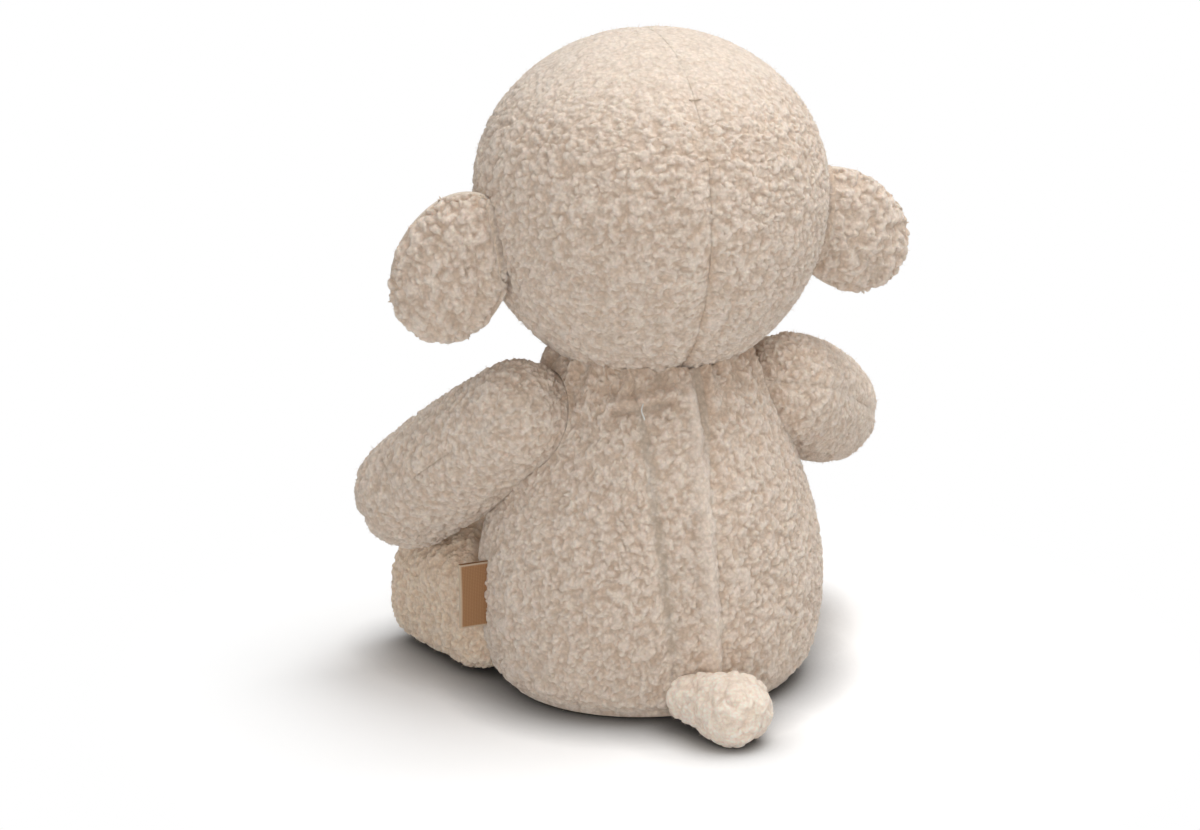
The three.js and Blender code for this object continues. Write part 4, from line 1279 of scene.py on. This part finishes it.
class SHEEP_OT_ears(bpy.types.Operator):
    """Make both drooping ears, each a fleece back and a smooth inner side sewn round its edge."""
    bl_idname = "sheep.make_ears"
    bl_label = "Make the ears"

    def execute(self, context):
        head, ears, look = context.scene.sheep_head, context.scene.sheep_ears, context.scene.sheep_fleece
        for side, name in ((1, "left"), (-1, "right")):
            hinge = np.array(JOINTS[f"{name}_ear_flap"]["pos_m"])
            stand_out = getattr(ears, f"{name}_stand_out") + ears.hinge_sink
            lean = -side * getattr(ears, f"{name}_lean")
            swing = -side * getattr(ears, f"{name}_forward")
            middle = hinge + stand_out * np.array([side * math.cos(swing), side * math.sin(swing), 0])

            def place(local, lean=lean, swing=swing, stand_out=stand_out, side=side, hinge=hinge):
                """Tapers, leans and swings a point of the upright ear, and keeps it outside the head."""
                x = local[..., 0] * (1 - ears.taper * local[..., 2] / ears.half_height)
                y, z = local[..., 1], local[..., 2]
                leaned = x * math.cos(lean) + z * math.sin(lean)
                height = z * math.cos(lean) - x * math.sin(lean)
                out = leaned + side * stand_out
                turned = np.stack([
                    out * math.cos(swing) - y * math.sin(swing),
                    out * math.sin(swing) + y * math.cos(swing),
                    height,
                ], -1)
                return outside_head(turned + hinge, head, ears.clearance)

            for facing, label, smooth in ((1, "back", False), (-1, "inner", True)):
                def surface(u, v, facing=facing, place=place):
                    """Half a flattened ball, on an even map of the square."""
                    radius, angle = square_to_disc(u, v)
                    polar = radius * np.pi / 2
                    return place(np.stack([
                        ears.half_width * np.sin(polar) * np.cos(angle),
                        facing * ears.half_thickness * np.maximum(np.cos(polar), 0),
                        ears.half_height * np.sin(polar) * np.sin(angle),
                    ], -1))

                finish = "Smooth plush" if smooth else "Curly fleece"
                piece = sewn_panel(
                    f"{name}_ear_{label}", surface,
                    (OVER_EAR * ears.half_width, OVER_EAR * ears.half_height), middle, ALL_ROUND, look,
                    finish, smooth=smooth, curl_share=ears.curl_share, depth_share=ears.curl_share,
                )
                outwards = unit(middle - hinge)
                bend = ("head", hinge + ears.bend_start * outwards, hinge + ears.bend_end * outwards)
                slot = "smooth_plush" if smooth else "curly_fleece"
                settle(piece, f"{name}_ear", slot, f"{name}_ear_{label}_panel", fill=0.4, bend=bend)
        return {"FINISHED"}


# The lip above the tuck: how high above it and how wide, in half widths of the tuck.
LIP_RISE = 2.4
LIP_WIDTH = 1.6

# Waves that bend the strip's seams: turns to the metre, and how far the two seams are apart in each.
STRIP_WAVES = ((310, 1), (530, 2))


def tuck_folds(x, z, body):
    """How much each place across and up the back lies in the closing tuck, and on the lip above it: bell
    curves of the distance from the line between the tuck's two ends."""
    start = np.array([body.tuck_left, body.tuck_low])
    line = np.array([body.tuck_right, body.tuck_high]) - start
    share_along = np.clip(((x - start[0]) * line[0] + (z - start[1]) * line[1]) / (line @ line), 0, 1)
    across, up = x - start[0] - share_along * line[0], z - start[1] - share_along * line[1]
    tuck = np.exp(-(across ** 2 + up ** 2) / body.tuck_width ** 2)
    lip_up = up - LIP_RISE * body.tuck_width
    lip = np.exp(-(across ** 2 + lip_up ** 2) / (LIP_WIDTH * body.tuck_width) ** 2)
    return tuck, lip


def strip_seam(height, side, body):
    """Distance from the body's middle to the strip's left or right seam: the strip widens evenly on its way
    up, its middle leans to the left up to a height and then runs straight up, and sines bend its seams."""
    half = body.strip_bottom + (body.strip_top - body.strip_bottom) * height / body.top
    waves = sum(np.sin(turns * height + apart * side) for turns, apart in STRIP_WAVES)
    half = half + body.strip_wander * waves
    return body.strip_shift * np.minimum(height / body.strip_shift_height, 1) + side * half


def thread_tube(path, radius, sides=8):
    """A round thread along a path, closed at both ends: rings across the path, and a point at each end."""
    ahead = unit(np.gradient(path, axis=0))
    side = unit(np.cross(ahead, np.array([1.0, 0.0, 0.0])))
    rings = path[:, None] + ring_about(side, np.cross(ahead, side), sides) * radius
    corners = np.concatenate([rings.reshape(-1, 3), path[:1], path[-1:]])
    k = np.arange(sides)
    after = (k + 1) % sides
    last = (len(path) - 1) * sides
    row = np.arange(0, last, sides)[:, None]
    first_point, last_point = np.full(sides, last + sides), np.full(sides, last + sides + 1)
    triangles = (
        (row + k, row + after, row + after + sides), (row + k, row + after + sides, row + k + sides),
        (first_point, after, k), (last_point, last + k, last + after),
    )
    return corners, np.concatenate([np.stack(corner, -1).reshape(-1, 3) for corner in triangles])


# Heights and depths on the body between which its folds come and go: from the side to the back, up from the
# base and down from the collar along the strip, up to the neck in the valley, along the rim, from the
# front to the side there, and down from the collar in the head's shadow.
BACK_FROM, BACK_TO = 0.0, 0.02
STRIP_FROM, STRIP_TO, STRIP_END = 0.008, 0.02, 0.012
NECK_FROM, NECK_TO = 0.098, 0.138
RIM = 0.006
FRONT_TO, FRONT_FROM = -0.01, 0.015
SHADOW_LOW, SHADOW_HIGH = 0.03, 0.004

# How much painted light and shade the folds put in the pile's colour: a painted highlight on the ridge, a
# painted shadow under the head, and painted shade in the neck valley, the dimples and the tuck.
RIDGE_PAINTED_HIGHLIGHT = 0.35
NECK_SHADOW = 0.3
VALLEY_PAINTED_SHADE = 0.6
DIMPLE_PAINTED_SHADE = 0.4
TUCK_PAINTED_SHADE = 0.8


def body_folds(points, body, look, top):
    """Gathers that run down from the neck and fade, which are sums of sines of the turn about the body. A
    ridge inside the strip's right seam, with a deeper valley beside it near the neck. A valley with
    dimples along the strip's left seam. The tuck where the back was sewn shut, and its lip. A collar drawn
    in at the front. Each ridge or valley is a bell curve of the distance from its line. Gives the height
    to add, how much flatter the pile lies on the ridge and in the tuck, and the painted light and shade in
    the pile's colour: a painted highlight on the ridge, painted shade in the folds and a painted shadow under
    the head."""
    x, y, z = np.moveaxis(points, -1, 0)
    behind = smooth_step(y, BACK_FROM, BACK_TO)
    along = smooth_step(z, STRIP_FROM, STRIP_TO) * smooth_step(top - z, 0.0, STRIP_END)
    angle = np.arctan2(y, x)
    fade = np.clip(1 - (top - z) / body.gather_reach, 0, 1) ** 1.5
    wave = np.sin(19 * angle + 1.7 * np.sin(3 * angle)) + 0.5 * np.sin(31 * angle + 2)
    right = x - strip_seam(z, -1, body)
    left = x - strip_seam(z, 1, body)
    ridge = behind * along * np.exp(-((right - body.ridge_offset) / body.ridge_width) ** 2)
    neck_valley = behind * smooth_step(z, NECK_FROM, NECK_TO)
    neck_valley = neck_valley * np.exp(-((right + body.neck_valley_offset) / body.neck_valley_width) ** 2)
    left_valley = behind * along * np.exp(-(left / body.ridge_width) ** 2)
    sparse = smooth_step(soft_noise(points, look.dimple_size, DIMPLES)[..., 0], -0.1, 0.3)
    dimples = behind * sparse * along * np.exp(-(left / look.dimple_width) ** 2)
    tuck, lip = (behind * part for part in tuck_folds(x, z, body))
    rim = smooth_step(z, top - RIM, top) * (1 - smooth_step(y, FRONT_TO, FRONT_FROM))
    shadow = smooth_step(z, top - SHADOW_LOW, top - SHADOW_HIGH) * (1 - ridge)
    added = (body.gather * fade * wave + body.ridge * ridge + body.tuck_lip * lip
             - body.neck_valley * neck_valley - body.left_valley * left_valley - body.tuck * tuck
             - body.collar_trim * rim - body.stitch_dimple * dimples)
    # Painted light and shade in the pile's colour: a painted highlight on the ridge, less a painted shadow
    # under the head and painted shade in the valley, the dimples and the tuck.
    paler = (RIDGE_PAINTED_HIGHLIGHT * ridge - NECK_SHADOW * shadow - VALLEY_PAINTED_SHADE * neck_valley
             - DIMPLE_PAINTED_SHADE * dimples - TUCK_PAINTED_SHADE * tuck)
    return added, np.clip((ridge + tuck) / 2, 0, 0.8), paler


# How much wider the mesh step is on the belly and the base than on the back.
BELLY_COARSER = 1.3
BASE_COARSER = 1.6

# Where the pile starts round a seat, past the root's radius, and over what distance it grows. How high the
# body's panels keep off the floor. The base: where its rim starts, how high it lies, and between which
# heights its pile starts. Steps along the closing thread.
SEAT_EDGE = 0.0002
SEAT_STEP = 0.0012
BODY_FLOOR = 0.0006
BASE_RIM_SHARE = 0.86
BASE_RISE = 0.0004
BASE_PILE = (0.001, 0.004)
THREAD_STEPS = 40


class SHEEP_OT_body(bpy.types.Operator):
    """Make the body's five sewn panels: two back panels, the strip between, the belly and the base. Then
    make the white end of the thread that closes the back."""
    bl_idname = "sheep.make_body"
    bl_label = "Make the body"

    def execute(self, context):
        body, limbs = context.scene.sheep_body, context.scene.sheep_limbs
        look = context.scene.sheep_fleece
        profile = body_side(body)
        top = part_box("back_strip")[1].z + body.collar
        side = profile[(profile[:, 0] >= body.base_seam) & (profile[:, 0] <= top)]
        places, side_length = by_length(side)
        seats = [
            (np.array(JOINTS[joint]["pos_m"]), radius)
            for joint, radius in (
                ("left_arm_lift", limbs.arm_root), ("right_arm_lift", limbs.arm_root),
                ("left_leg_lift", limbs.leg_root), ("right_leg_lift", limbs.leg_root),
                ("tail_lift", limbs.tail_root),
            )
        ]

        def seam_angle(seam, height, width):
            """The turn at which a seam crosses each height."""
            if seam in ("strip_left", "strip_right"):
                x = strip_seam(height, 1 if seam == "strip_left" else -1, body)
                return np.arccos(np.clip(x / width, -1, 1))
            slant = np.arcsin(np.clip(body.side_seam_y / (width * body_press(height, body)), -1, 1))
            return slant if seam == "side_left" else np.pi - slant

        def panel_surface(first, last):
            """The part of the body's form between two seams, sunk where the limbs sit in it."""
            def surface(u, v):
                """From the base seam up to the neck, and from one seam to the next."""
                height = np.interp(v, places, side[:, 0])
                width = np.interp(v, places, side[:, 1])
                start, end = seam_angle(first, height, width), seam_angle(last, height, width)
                if end.mean() < start.mean():
                    end = end + 2 * np.pi
                points = on_body(start + (end - start) * u, height, width, body)
                for middle, radius in seats:
                    outwards = unit(middle * np.array([1, 1, 0]))
                    points = seat(points, middle, radius + body.seat_clearance, outwards)
                return points
            return surface

        def kept(points):
            """No pile in the seats."""
            keep = np.ones(points.shape[:-1])
            for middle, radius in seats:
                keep = keep * inside_ball(points, middle, radius + SEAT_EDGE, SEAT_STEP)
            return keep

        def folds(points):
            """The body's folds, outside the seats."""
            added, flattened, paler = body_folds(points, body, look, top)
            return added * kept(points), flattened, paler

        girth = 2 * np.pi * body.half_width
        panels = (
            ("back_left_fleece", "back_left_panel", "side_left", "strip_left", 0.24, 1.0),
            ("back_strip_fleece", "back_strip", "strip_left", "strip_right", 0.055, 1.0),
            ("back_right_fleece", "back_right_panel", "strip_right", "side_right", 0.24, 1.0),
            ("belly_fleece", "belly_panel", "side_right", "side_left", 0.5, BELLY_COARSER),
        )
        for name, node, first, last, girth_share, coarser in panels:
            piece = sewn_panel(
                name, panel_surface(first, last), (girth * girth_share, side_length),
                np.array([0, 0, body.top / 2]), ("u0", "u1", "v0"), look, "Curly fleece",
                kept, folds, floor=BODY_FLOOR, coarser=coarser,
            )
            settle(piece, "torso", "curly_fleece", node, fill=0.8)

        t = np.linspace(0, 1, THREAD_STEPS)
        height = body.thread_top - body.thread_drop * t
        x = body.thread_side + body.thread_lean * t + body.thread_curl * np.sin(5 * t)
        width = np.interp(height, profile[:, 0], profile[:, 1])
        path = on_body(np.arccos(x / width), height, width, body)
        bow = body.thread_bow * np.sin(np.pi * np.clip(0.12 + 0.75 * t, 0, 1)) - body.thread_root
        path = path + unit(path * np.array([1, 1, 0])) * bow[:, None]
        corners, faces = thread_tube(path, body.thread_width / 2)
        piece = new_piece("closing_thread", corners, faces, finishes(look)["White thread"])
        settle(piece, "torso", "embroidery_thread")

        base_width = np.interp(body.base_seam, profile[:, 0], profile[:, 1])

        def base(u, v):
            """A flat disc with a rim that turns up to the base seam."""
            radius, angle = square_to_disc(u, v)
            width = base_width * radius
            rim = smooth_step(np.abs(radius), BASE_RIM_SHARE, 1.0)
            height = BASE_RISE + (body.base_seam - 2 * BASE_RISE) * rim ** 2
            pressed = body.half_depth / body.half_width
            return np.stack([width * np.cos(angle), width * np.sin(angle) * pressed, height], -1)

        piece = sewn_panel(
            "base_fleece", base, (2 * base_width, 2 * base_width), np.array([0, 0, body.half_width / 4]),
            ALL_ROUND, look, "Curly fleece", lambda p: smooth_step(p[..., 2], *BASE_PILE),
            floor=0.0, coarser=BASE_COARSER,
        )
        settle(piece, "torso", "curly_fleece", "base_panel", fill=0.8)
        return {"FINISHED"}


class SHEEP_OT_arms(bpy.types.Operator):
    """Make both arms, each an upper and a lower panel that meet in seams along the arm."""
    bl_idname = "sheep.make_arms"
    bl_label = "Make the arms"

    def execute(self, context):
        body, limbs, look = context.scene.sheep_body, context.scene.sheep_limbs, context.scene.sheep_fleece
        side = round_ended(limbs.arm_root, limbs.arm_tip, limbs.arm_reach, limbs.arm_swell)
        for name, droop in (("left", limbs.left_droop), ("right", limbs.right_droop)):
            pivot, axes = limb_axes(f"{name}_arm_lift", droop)
            for half, label in ((np.pi, "upper"), (-np.pi, "lower")):
                piece = sewn_panel(
                    f"{name}_arm_{label}", turned(side, pivot, axes, 0.0, half),
                    (np.pi * limbs.arm_root, by_length(side)[1]), pivot + axes[1] * limbs.arm_reach / 2,
                    ("u0", "u1"), look, "Curly fleece",
                    lambda p: outside_body(p, body, limbs.root_soft), poles=("v0", "v1"),
                )
                settle(piece, f"{name}_arm", "curly_fleece", f"{name}_arm_{label}_panel", fill=0.7)
        return {"FINISHED"}


# Where a leg's hip swell starts and ends to grow above the leg's middle, and how high legs and tail keep off
# the floor.
HIP_RISE = (0.002, 0.018)
LIMB_FLOOR = 0.0002


class SHEEP_OT_legs(bpy.types.Operator):
    """Make both legs, each a fleece tube, full underneath and flat on the floor, with a smooth round sole."""
    bl_idname = "sheep.make_legs"
    bl_label = "Make the legs"

    def execute(self, context):
        body, limbs, look = context.scene.sheep_body, context.scene.sheep_limbs, context.scene.sheep_fleece
        sole = limbs.leg_foot - limbs.sole_inset
        back = np.linspace(-np.pi / 2, 0, 300)
        t = np.linspace(0, 1, 300)[1:-1]
        corner = np.linspace(0, np.pi / 2, 200)
        straight = limbs.leg_reach - limbs.sole_corner
        grows = limbs.leg_foot - limbs.leg_root
        side = np.concatenate([
            np.stack([limbs.leg_root * np.sin(back), limbs.leg_root * np.cos(back)], -1),
            np.stack([t * straight, limbs.leg_root + grows * smooth_step(t, 0, 1)], -1),
            np.stack([straight + limbs.sole_corner * np.sin(corner),
                      limbs.leg_foot - limbs.sole_corner * (1 - np.cos(corner))], -1),
        ])
        side = side[~((side[:, 0] > straight) & (side[:, 1] < sole))]

        def fuller(local):
            """A leg's section is round above. Below it is a squarer curve: the powers of both ways out add
            up to one."""
            x, z = local[..., 0], local[..., 2]
            power = np.where(z < 0, limbs.leg_fullness, 2.0)
            spread = (np.abs(x) ** power + np.abs(z) ** power) ** (1 / power)
            size = np.where(spread > 0, np.hypot(x, z) / np.maximum(spread, 1e-9), 1)
            return np.stack([x * size, local[..., 1], z * size], -1)

        for name in ("left", "right"):
            pivot, axes = limb_axes(f"{name}_leg_lift")

            def hip(points, pivot=pivot, axes=axes):
                """The stuffing swells the top of the thigh beside the body: a bell curve of the place along
                the leg."""
                along, up = (points - pivot) @ axes[1], (points - pivot) @ axes[2]
                bell = np.exp(-((along - limbs.hip_place) / limbs.hip_reach) ** 2)
                bell = bell * smooth_step(up, *HIP_RISE) * outside_body(points, body, limbs.swell_soft)
                return limbs.hip_swell * bell, 0.0, 0.0

            piece = sewn_panel(
                f"{name}_leg_fleece", turned(side, pivot, axes, -np.pi / 2, 2 * np.pi, fuller),
                (2 * np.pi * limbs.leg_root, by_length(side)[1]), pivot + axes[1] * limbs.leg_reach / 2,
                ("u0", "u1", "v1"), look, "Warm fleece",
                lambda p: outside_body(p, body, limbs.root_soft), hip, poles=("v0",), floor=LIMB_FLOOR,
            )
            settle(piece, f"{name}_leg", "curly_fleece", f"{name}_leg_cover", fill=0.7)

            def disc(u, v, pivot=pivot, axes=axes):
                """The flat end of the leg, crowned by one less the square of the way out."""
                radius, angle = square_to_disc(u, v)
                width = (sole - limbs.sole_clearance) * radius
                crown = limbs.leg_reach + limbs.sole_crown * (1 - radius ** 2)
                local = np.stack([width * np.cos(angle), crown, width * np.sin(angle)], -1)
                return pivot + fuller(local) @ axes

            piece = sewn_panel(
                f"{name}_sole", disc, (2 * sole, 2 * sole), pivot, ALL_ROUND, look,
                "Smooth plush", smooth=True, floor=LIMB_FLOOR,
            )
            settle(piece, f"{name}_leg", "smooth_plush", f"{name}_foot_sole", fill=0.7)
        return {"FINISHED"}


class SHEEP_OT_tail(bpy.types.Operator):
    """Make the tail, a teardrop of deep curls that lies on the floor."""
    bl_idname = "sheep.make_tail"
    bl_label = "Make the tail"

    def execute(self, context):
        body, limbs, look = context.scene.sheep_body, context.scene.sheep_limbs, context.scene.sheep_fleece
        side = round_ended(limbs.tail_root, limbs.tail_end, limbs.tail_reach, 0.0)
        pivot, axes = limb_axes("tail_lift")

        def swell(points):
            """The tail fills out where it leaves the body, and its pile gets painted light."""
            return limbs.tail_swell * outside_body(points, body, limbs.swell_soft), 0.0, limbs.tail_painted_light

        piece = sewn_panel(
            "tail_fleece", turned(side, pivot, axes, -np.pi / 2, 2 * np.pi),
            (2 * np.pi * limbs.tail_end, by_length(side)[1]), pivot + axes[1] * limbs.tail_reach / 2,
            ("u0", "u1"), look, "Pale fleece",
            lambda p: outside_body(p, body, limbs.tail_root_soft), swell, poles=("v0", "v1"),
            floor=LIMB_FLOOR, curl_share=limbs.tail_curl_share, depth_share=limbs.tail_depth_share,
        )
        settle(piece, "tail", "curly_fleece", "tail_cover", fill=0.6)
        return {"FINISHED"}


# The ribbon's thickness, the radius of its fold, how deep its ends lie in the seam, how far it bows up and
# out, its steps, between which distances its edges and its fold turn pale, and how pale the fold is: its
# paleness is a painted highlight where the ribbon turns.
RIBBON_THICKNESS = 0.0005
RIBBON_FOLD = 0.0009
RIBBON_ROOT = 0.004
RIBBON_BOW_UP = 0.0007
RIBBON_BOW_OUT = 0.0009
RIBBON_STEPS = (120, 88)
RIBBON_EDGE = (0.0004, 0.0009)
RIBBON_FOLD_EDGE = (0.0008, 0.0017)
RIBBON_FOLD_HIGHLIGHT = 0.85


class SHEEP_OT_label(bpy.types.Operator):
    """Make the bare brown ribbon in the left side seam: it runs straight out, round its fold, which is half a
    circle, and straight back."""
    bl_idname = "sheep.make_label"
    bl_label = "Make the label"

    def execute(self, context):
        look = context.scene.sheep_fleece
        low, high = (np.array(corner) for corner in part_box("side_label"))
        tip, root, tall = high[0], low[0] - RIBBON_ROOT, high[2] - low[2]
        middle_y = (low[1] + high[1]) / 2
        straight = tip - RIBBON_FOLD - root
        total = 2 * straight + np.pi * RIBBON_FOLD
        u, v = unit_grid(*RIBBON_STEPS)
        distance = u * total
        bend = np.clip((distance - straight) / RIBBON_FOLD, 0, np.pi)
        back = np.maximum(distance - straight - np.pi * RIBBON_FOLD, 0)
        x = root + np.minimum(distance, straight) - back + RIBBON_FOLD * np.sin(bend)
        bow = RIBBON_BOW_UP * np.sin(np.pi * v) + RIBBON_BOW_OUT * ((x - root) / (tip - root)) ** 2
        points = np.stack([x, middle_y - RIBBON_FOLD * np.cos(bend) + bow, low[2] + tall * v], -1)
        away = grid_normals(points, np.array([(root + tip) / 2, middle_y, low[2] + tall / 2]))
        at_edge = 1 - smooth_step(np.minimum(v, 1 - v) * tall, *RIBBON_EDGE)
        # The fold is paler as a painted highlight, where light catches the ribbon's turn.
        fold_highlight = 1 - smooth_step(np.abs(u - 0.5) * total, *RIBBON_FOLD_EDGE)
        piece = shell_piece(
            "ribbon_label", points, away, RIBBON_THICKNESS / 2, RIBBON_THICKNESS / 2,
            look, "Brown ribbon", {"edge": np.maximum(at_edge, RIBBON_FOLD_HIGHLIGHT * fold_highlight)},
        )
        settle(piece, "torso", "label_ribbon", "side_label")
        return {"FINISHED"}


class SHEEP_OT_inside(bpy.types.Operator):
    """Give the stuffing and the pellet bag their finishes."""
    bl_idname = "sheep.dress_inside"
    bl_label = "Dress the stuffing"

    def execute(self, context):
        made = finishes(context.scene.sheep_fleece)
        for name, node in frame["nodes"].items():
            if node.hide_render:
                continue
            material = made["Pellet bag cotton" if name == "pellet_bag" else "Stuffing"]
            node.data.materials.clear()
            node.data.materials.append(material)
        return {"FINISHED"}


# The camera's sensor in millimetres.
SENSOR_WIDTH = 36

# The floor's half width. The floor that the camera sees: how far and how strongly it darkens near the
# object, which is a contact shadow painted into its colour from ambient occlusion, its darkest and plain
# shades there, and the shade that lights the object.
FLOOR_HALF = 4.0
CONTACT_REACH = 0.03
CONTACT_POWER = 1.3
CONTACT_DARK = 0.05
FLOOR_SEEN = 1.12
FLOOR_LIT = 0.7


class SHEEP_OT_stage(bpy.types.Operator):
    """Make the pale floor, the soft light and the camera."""
    bl_idname = "sheep.make_stage"
    bl_label = "Make the stage"

    def execute(self, context):
        stage = context.scene.sheep_stage
        scene = context.scene
        scene.view_settings.view_transform = "Standard"
        target = Vector((0, 0, stage.target_height))
        away = Vector((
            math.sin(stage.azimuth) * math.cos(stage.elevation),
            -math.cos(stage.azimuth) * math.cos(stage.elevation),
            math.sin(stage.elevation),
        ))
        camera_data = bpy.data.cameras.new("camera")
        camera_data.lens = stage.lens
        camera_data.sensor_width = SENSOR_WIDTH
        camera_data.shift_x = stage.shift
        camera_data.clip_end = 20
        camera = bpy.data.objects.new("camera", camera_data)
        camera.location = target + away * stage.distance
        camera.rotation_euler = (-away).to_track_quat("-Z", "Y").to_euler()
        scene.collection.objects.link(camera)
        scene.camera = camera

        corners = [(x * FLOOR_HALF, y * FLOOR_HALF, 0) for x, y in ((-1, -1), (1, -1), (1, 1), (-1, 1))]
        mesh = bpy.data.meshes.new("floor")
        mesh.from_pydata(corners, [], [(0, 1, 2, 3)])
        floor = bpy.data.objects.new("floor", mesh)
        scene.collection.objects.link(floor)
        mesh.materials.append(self.floor_finish(stage))

        self.lamp("top light", stage.key_place, target, stage.key_size, stage.key)
        self.lamp("side light", stage.fill_place, target, stage.fill_size, stage.fill)
        self.lamp("camera light", stage.front_place, target, stage.front_size, stage.front)

        world = bpy.data.worlds.new("white room")
        world.use_nodes = True
        scene.world = world
        tree = world.node_tree
        seen = tree.nodes.new("ShaderNodeLightPath")
        strength = tree.nodes.new("ShaderNodeMapRange")
        strength.inputs["To Min"].default_value = stage.world
        tree.links.new(seen.outputs["Is Camera Ray"], strength.inputs["Value"])
        background = tree.nodes["Background"]
        background.inputs["Color"].default_value = grey(1)
        tree.links.new(strength.outputs["Result"], background.inputs["Strength"])
        return {"FINISHED"}

    def floor_finish(self, stage):
        """White floor. Near the object the camera sees it as it is lit, a little overexposed, so that it
        keeps the shadow, and darker in the hollow under the object, where ambient occlusion paints more
        contact shadow into its colour. Further out it sees plain white."""
        finish = Finish("White floor")
        finish.set(Roughness=1.0, Specular_IOR_Level=0.0)
        seen = finish.node("ShaderNodeLightPath").outputs
        # Painted contact shadow: ambient occlusion darkens the floor's colour for the camera near the object.
        hollow = finish.node("ShaderNodeAmbientOcclusion", {"Distance": CONTACT_REACH}, samples=8)
        deeper = finish.node("ShaderNodeMath", {0: hollow.outputs["AO"], 1: CONTACT_POWER}, operation="POWER")
        shown = finish.mix(deeper.outputs[0], grey(CONTACT_DARK), grey(FLOOR_SEEN))
        finish.link(finish.mix(seen["Is Camera Ray"], grey(FLOOR_LIT), shown), "Base Color")
        middle = finish.node("ShaderNodeVectorMath", {0: finish.place()}, operation="LENGTH").outputs["Value"]
        away = finish.node(
            "ShaderNodeMapRange", {"Value": middle, "From Min": stage.near, "From Max": stage.far},
            interpolation_type="SMOOTHSTEP",
        ).outputs["Result"]
        clean = finish.node("ShaderNodeMath", {0: away, 1: seen["Is Camera Ray"]}, operation="MULTIPLY")
        white = finish.node("ShaderNodeEmission", {"Color": grey(1), "Strength": 1.0})
        mixed = finish.node(
            "ShaderNodeMixShader", {0: clean.outputs[0], 1: finish.shader.outputs[0], 2: white.outputs[0]},
        )
        finish.tree.links.new(mixed.outputs[0], finish.tree.nodes["Material Output"].inputs["Surface"])
        return finish.material

    def lamp(self, name, place, target, size, power):
        """A square lamp that faces the target."""
        data = bpy.data.lights.new(name, "AREA")
        data.energy = power
        data.size = size
        lamp = bpy.data.objects.new(name, data)
        lamp.location = place
        lamp.rotation_euler = (target - lamp.location).to_track_quat("-Z", "Y").to_euler()
        bpy.context.scene.collection.objects.link(lamp)


OPERATORS = (
    SHEEP_OT_stage, SHEEP_OT_head, SHEEP_OT_face, SHEEP_OT_ears, SHEEP_OT_body, SHEEP_OT_arms,
    SHEEP_OT_legs, SHEEP_OT_tail, SHEEP_OT_label, SHEEP_OT_inside,
)


class SHEEP_PT_panel(bpy.types.Panel):
    """Lists the pieces of the sheep and the stage."""
    bl_idname = "SHEEP_PT_panel"
    bl_label = "Plush Sheep"
    bl_space_type = "VIEW_3D"
    bl_region_type = "UI"
    bl_category = "Plush Sheep"

    def draw(self, context):
        for operator in OPERATORS:
            self.layout.operator(operator.bl_idname)
        for name in SIZE_GROUPS:
            box = self.layout.box()
            sizes = getattr(context.scene, name)
            for key in sizes.__annotations__:
                box.prop(sizes, key)


def register():
    """Adds the sizes, the operators and the panel."""
    for group in SIZE_GROUPS.values():
        bpy.utils.register_class(group)
    for name, group in SIZE_GROUPS.items():
        setattr(bpy.types.Scene, name, bpy.props.PointerProperty(type=group))
    for operator in OPERATORS:
        bpy.utils.register_class(operator)
    bpy.utils.register_class(SHEEP_PT_panel)


def unregister():
    """Takes away what register added."""
    bpy.utils.unregister_class(SHEEP_PT_panel)
    for operator in reversed(OPERATORS):
        bpy.utils.unregister_class(operator)
    for name in SIZE_GROUPS:
        delattr(bpy.types.Scene, name)
    for group in reversed(SIZE_GROUPS.values()):
        bpy.utils.unregister_class(group)


def main():
    """Makes the sheep on its stage."""
    register()
    for operator in OPERATORS:
        group, action = operator.bl_idname.split(".")
        getattr(getattr(bpy.ops, group), action)()


if __name__ == "__main__":
    main()
